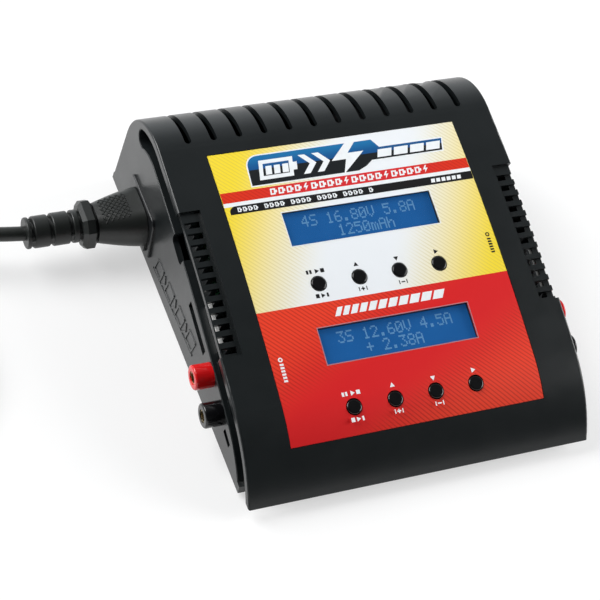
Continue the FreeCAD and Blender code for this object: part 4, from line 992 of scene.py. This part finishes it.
def add_plug_ribs(material):
    """Raised finger ribs round the plug's body and rings along its strain relief."""
    low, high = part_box("mains_plug")
    centre_x = (low.x + high.x) / 2 / MM
    build = bmesh.new()
    for i in range(PLUG_RIBS):
        y = PLUG_RIB_Y - PLUG_RIB_PITCH * i
        rings = []
        for place, grow in rib_profile(y, 1.4, 0.35, 0.3, 0.25, 0.5):
            rings.append([Vector((x, place, max(z, PLUG_FLOOR_GAP))) * MM
                          for x, z in plug_outline(centre_x, grow)])
        add_skin(build, rings, closed=True)
    for i in range(RELIEF_RINGS):
        y = RELIEF_Y - RELIEF_PITCH * i
        radius = RELIEF_R + RELIEF_GROWTH * i
        rings = []
        for place, grow in rib_profile(y, 1.7, 0.4, 0.5, 0.35, 0.6):
            rings.append([Vector((x, place, z)) * MM
                          for x, z in relief_outline(centre_x, radius + grow)])
        add_skin(build, rings, closed=True)
    return finish_mesh("plug_ribs", build, material, LEAD)


def strap_path(y0, y1, top):
    """The strap's middle line in y and z: up the coil's side, over its turns, and down again."""
    half = STRAP_T / 2
    radius = STRAP_CORNER - half
    first, last = y0 + STRAP_CORNER, y1 - STRAP_CORNER

    def corner(centre_y, start, end):
        steps = STRAP_CORNER_POINTS - 1
        angles = [math.radians(start + (end - start) * k / steps) for k in range(steps + 1)]
        return [(centre_y + radius * math.cos(a), top - STRAP_CORNER + radius * math.sin(a))
                for a in angles]

    heights = [STRAP_FOOT_Z + STRAP_SIDE_STEP * k for k in range(STRAP_SIDE_POINTS)]
    path = [(y0 + half, z) for z in heights] + corner(first, 180, 90)
    for k in range(1, STRAP_TOP_POINTS + 1):
        y = first + (last - first) * k / (STRAP_TOP_POINTS + 1)
        dip = STRAP_DIP * (1 - math.cos((y - y0) / CORD_R * math.pi))
        path.append((y, top - half - dip))
    return path + corner(last, 90, 0) + [(y1 - half, z) for z in reversed(heights)]


def add_strap(build, path, x0, x1, thick):
    """A flat band with rounded edges along points (y, z)."""
    bulge = thick * STRAP_EDGE
    section = ((x0 + bulge, thick / 2), (x1 - bulge, thick / 2), (x1, 0.0),
               (x1 - bulge, -thick / 2), (x0 + bulge, -thick / 2), (x0, 0.0))
    rings = []
    for k, (y, z) in enumerate(path):
        before, after = path[max(k - 1, 0)], path[min(k + 1, len(path) - 1)]
        along = Vector((0.0, after[0] - before[0], after[1] - before[1])).normalized()
        normal = Vector((1.0, 0.0, 0.0)).cross(along)
        rings.append([(Vector((x, y, z)) + normal * h) * MM for x, h in section])
    add_skin(build, rings)


def add_tie(material):
    """A strap over the coil's section, its loose end lying on top."""
    low, high = (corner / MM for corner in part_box("coil_tie"))
    build = bmesh.new()
    add_strap(build, strap_path(low.y, high.y, high.z), low.x, high.x, STRAP_T)
    loose_end = [(low.y + 5.0 + 1.5 * k, high.z + 0.35 + 0.02 * k * k) for k in range(9)]
    add_strap(build, loose_end, low.x + STRAP_END_INSET, high.x - STRAP_END_INSET, STRAP_END_T)
    piece = finish_mesh("coil_strap", build, material, LEAD)
    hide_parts("coil_tie")
    return piece


# ---------------------------------------------------------------- details on the case
def emblem_lines():
    """The emblem's strokes in y and z: outlines with arrow heads between them, underlined."""
    lines = []
    for i in range(EMBLEM_COUNT):
        y, z = EMBLEM_Y - EMBLEM_PITCH * i, EMBLEM_Z + EMBLEM_CLIMB * i
        top = z + EMBLEM_H
        outline = [(y, z), (y - EMBLEM_W, z), (y - EMBLEM_W - EMBLEM_LEAN, top),
                   (y - EMBLEM_LEAN, top)]
        lines += list(zip(outline, outline[1:] + outline[:1]))
        if i < EMBLEM_COUNT - 1:
            tip = (y - 12.2, z + EMBLEM_H / 2)
            lines += [((y - 9.2, z), tip), (tip, (y - 11.4, top))]
    lines.append(((EMBLEM_Y + 1.5, EMBLEM_Z - 1.6), (EMBLEM_Y - 48.0, EMBLEM_Z + 1.7)))
    return lines


def add_emblem(material):
    """The emblem on each side, below the vent channel."""
    for name, sign in (("left", -1), ("right", 1)):
        x = sign * SIDE_FACE_X
        build = bmesh.new()
        for (y0, z0), (y1, z1) in emblem_lines():
            add_ridge(build, (x, y0, z0), (x, y1, z1), EMBLEM_LINE, EMBLEM_RISE, (sign, 0, 0))
        finish_mesh("side_emblem_" + name, build, material, CASE)


def add_vent_shade_sheet(material):
    """A thin dark sheet behind the right-hand vent slots, painted shade that keeps the lit floor
    from showing through them; shallower over the header.
    """
    rings = []
    s = SHADE_SHEET_S[0]
    while s >= SHADE_SHEET_S[1]:
        arch = math.sqrt(ARCH_R ** 2 - s ** 2) - ARCH_R
        over_header = SHADE_SHEET_HEADER_S[0] <= s <= SHADE_SHEET_HEADER_S[1]
        foot = SHADE_SHEET_SHALLOW if over_header else SHADE_SHEET_DEEP
        rings.append([panel_point(SHADE_SHEET_X + dx, s, arch + h) for dx, h in
                      ((0, SHADE_SHEET_TOP), (SHADE_SHEET_T, SHADE_SHEET_TOP), (SHADE_SHEET_T, foot), (0, foot))])
        s -= SHADE_SHEET_STEP
    build = bmesh.new()
    add_skin(build, rings)
    finish_mesh("vent_shade_sheet_right", build, material, CASE)


# ---------------------------------------------------------------- everything
def main():
    add_camera()
    add_floor()
    add_lights()
    pvc = moulded("cord_pvc", (0.012, 0.014, 0.013), 0.4, 1500.0)
    paint(pvc, "mains_plug", "cord_connector")
    tie = add_tie(woven_strap())
    ribs = add_plug_ribs(pvc)
    texture = add_grip_texture(pvc)
    add_cord(pvc)
    paint_cad_nodes()
    add_emblem(NODES["upper_case"].data.materials[0])
    # painted shade: a dark sheet behind the right-hand vent slots
    add_vent_shade_sheet(NODES["probe_ports"].data.materials[0])
    white = ink("ink_white", (0.82, 0.85, 0.87))
    black = ink("ink_black", (0.006, 0.006, 0.007))
    add_banner(white)
    add_stripes(white, black)
    add_window_frames(white, ink("ink_pale_red", (0.42, 0.22, 0.25)))
    add_charge_bars(white)
    add_legends(white, black)
    dots = display_dots()
    add_readout("upper", dots)
    add_readout("lower", dots)


main()
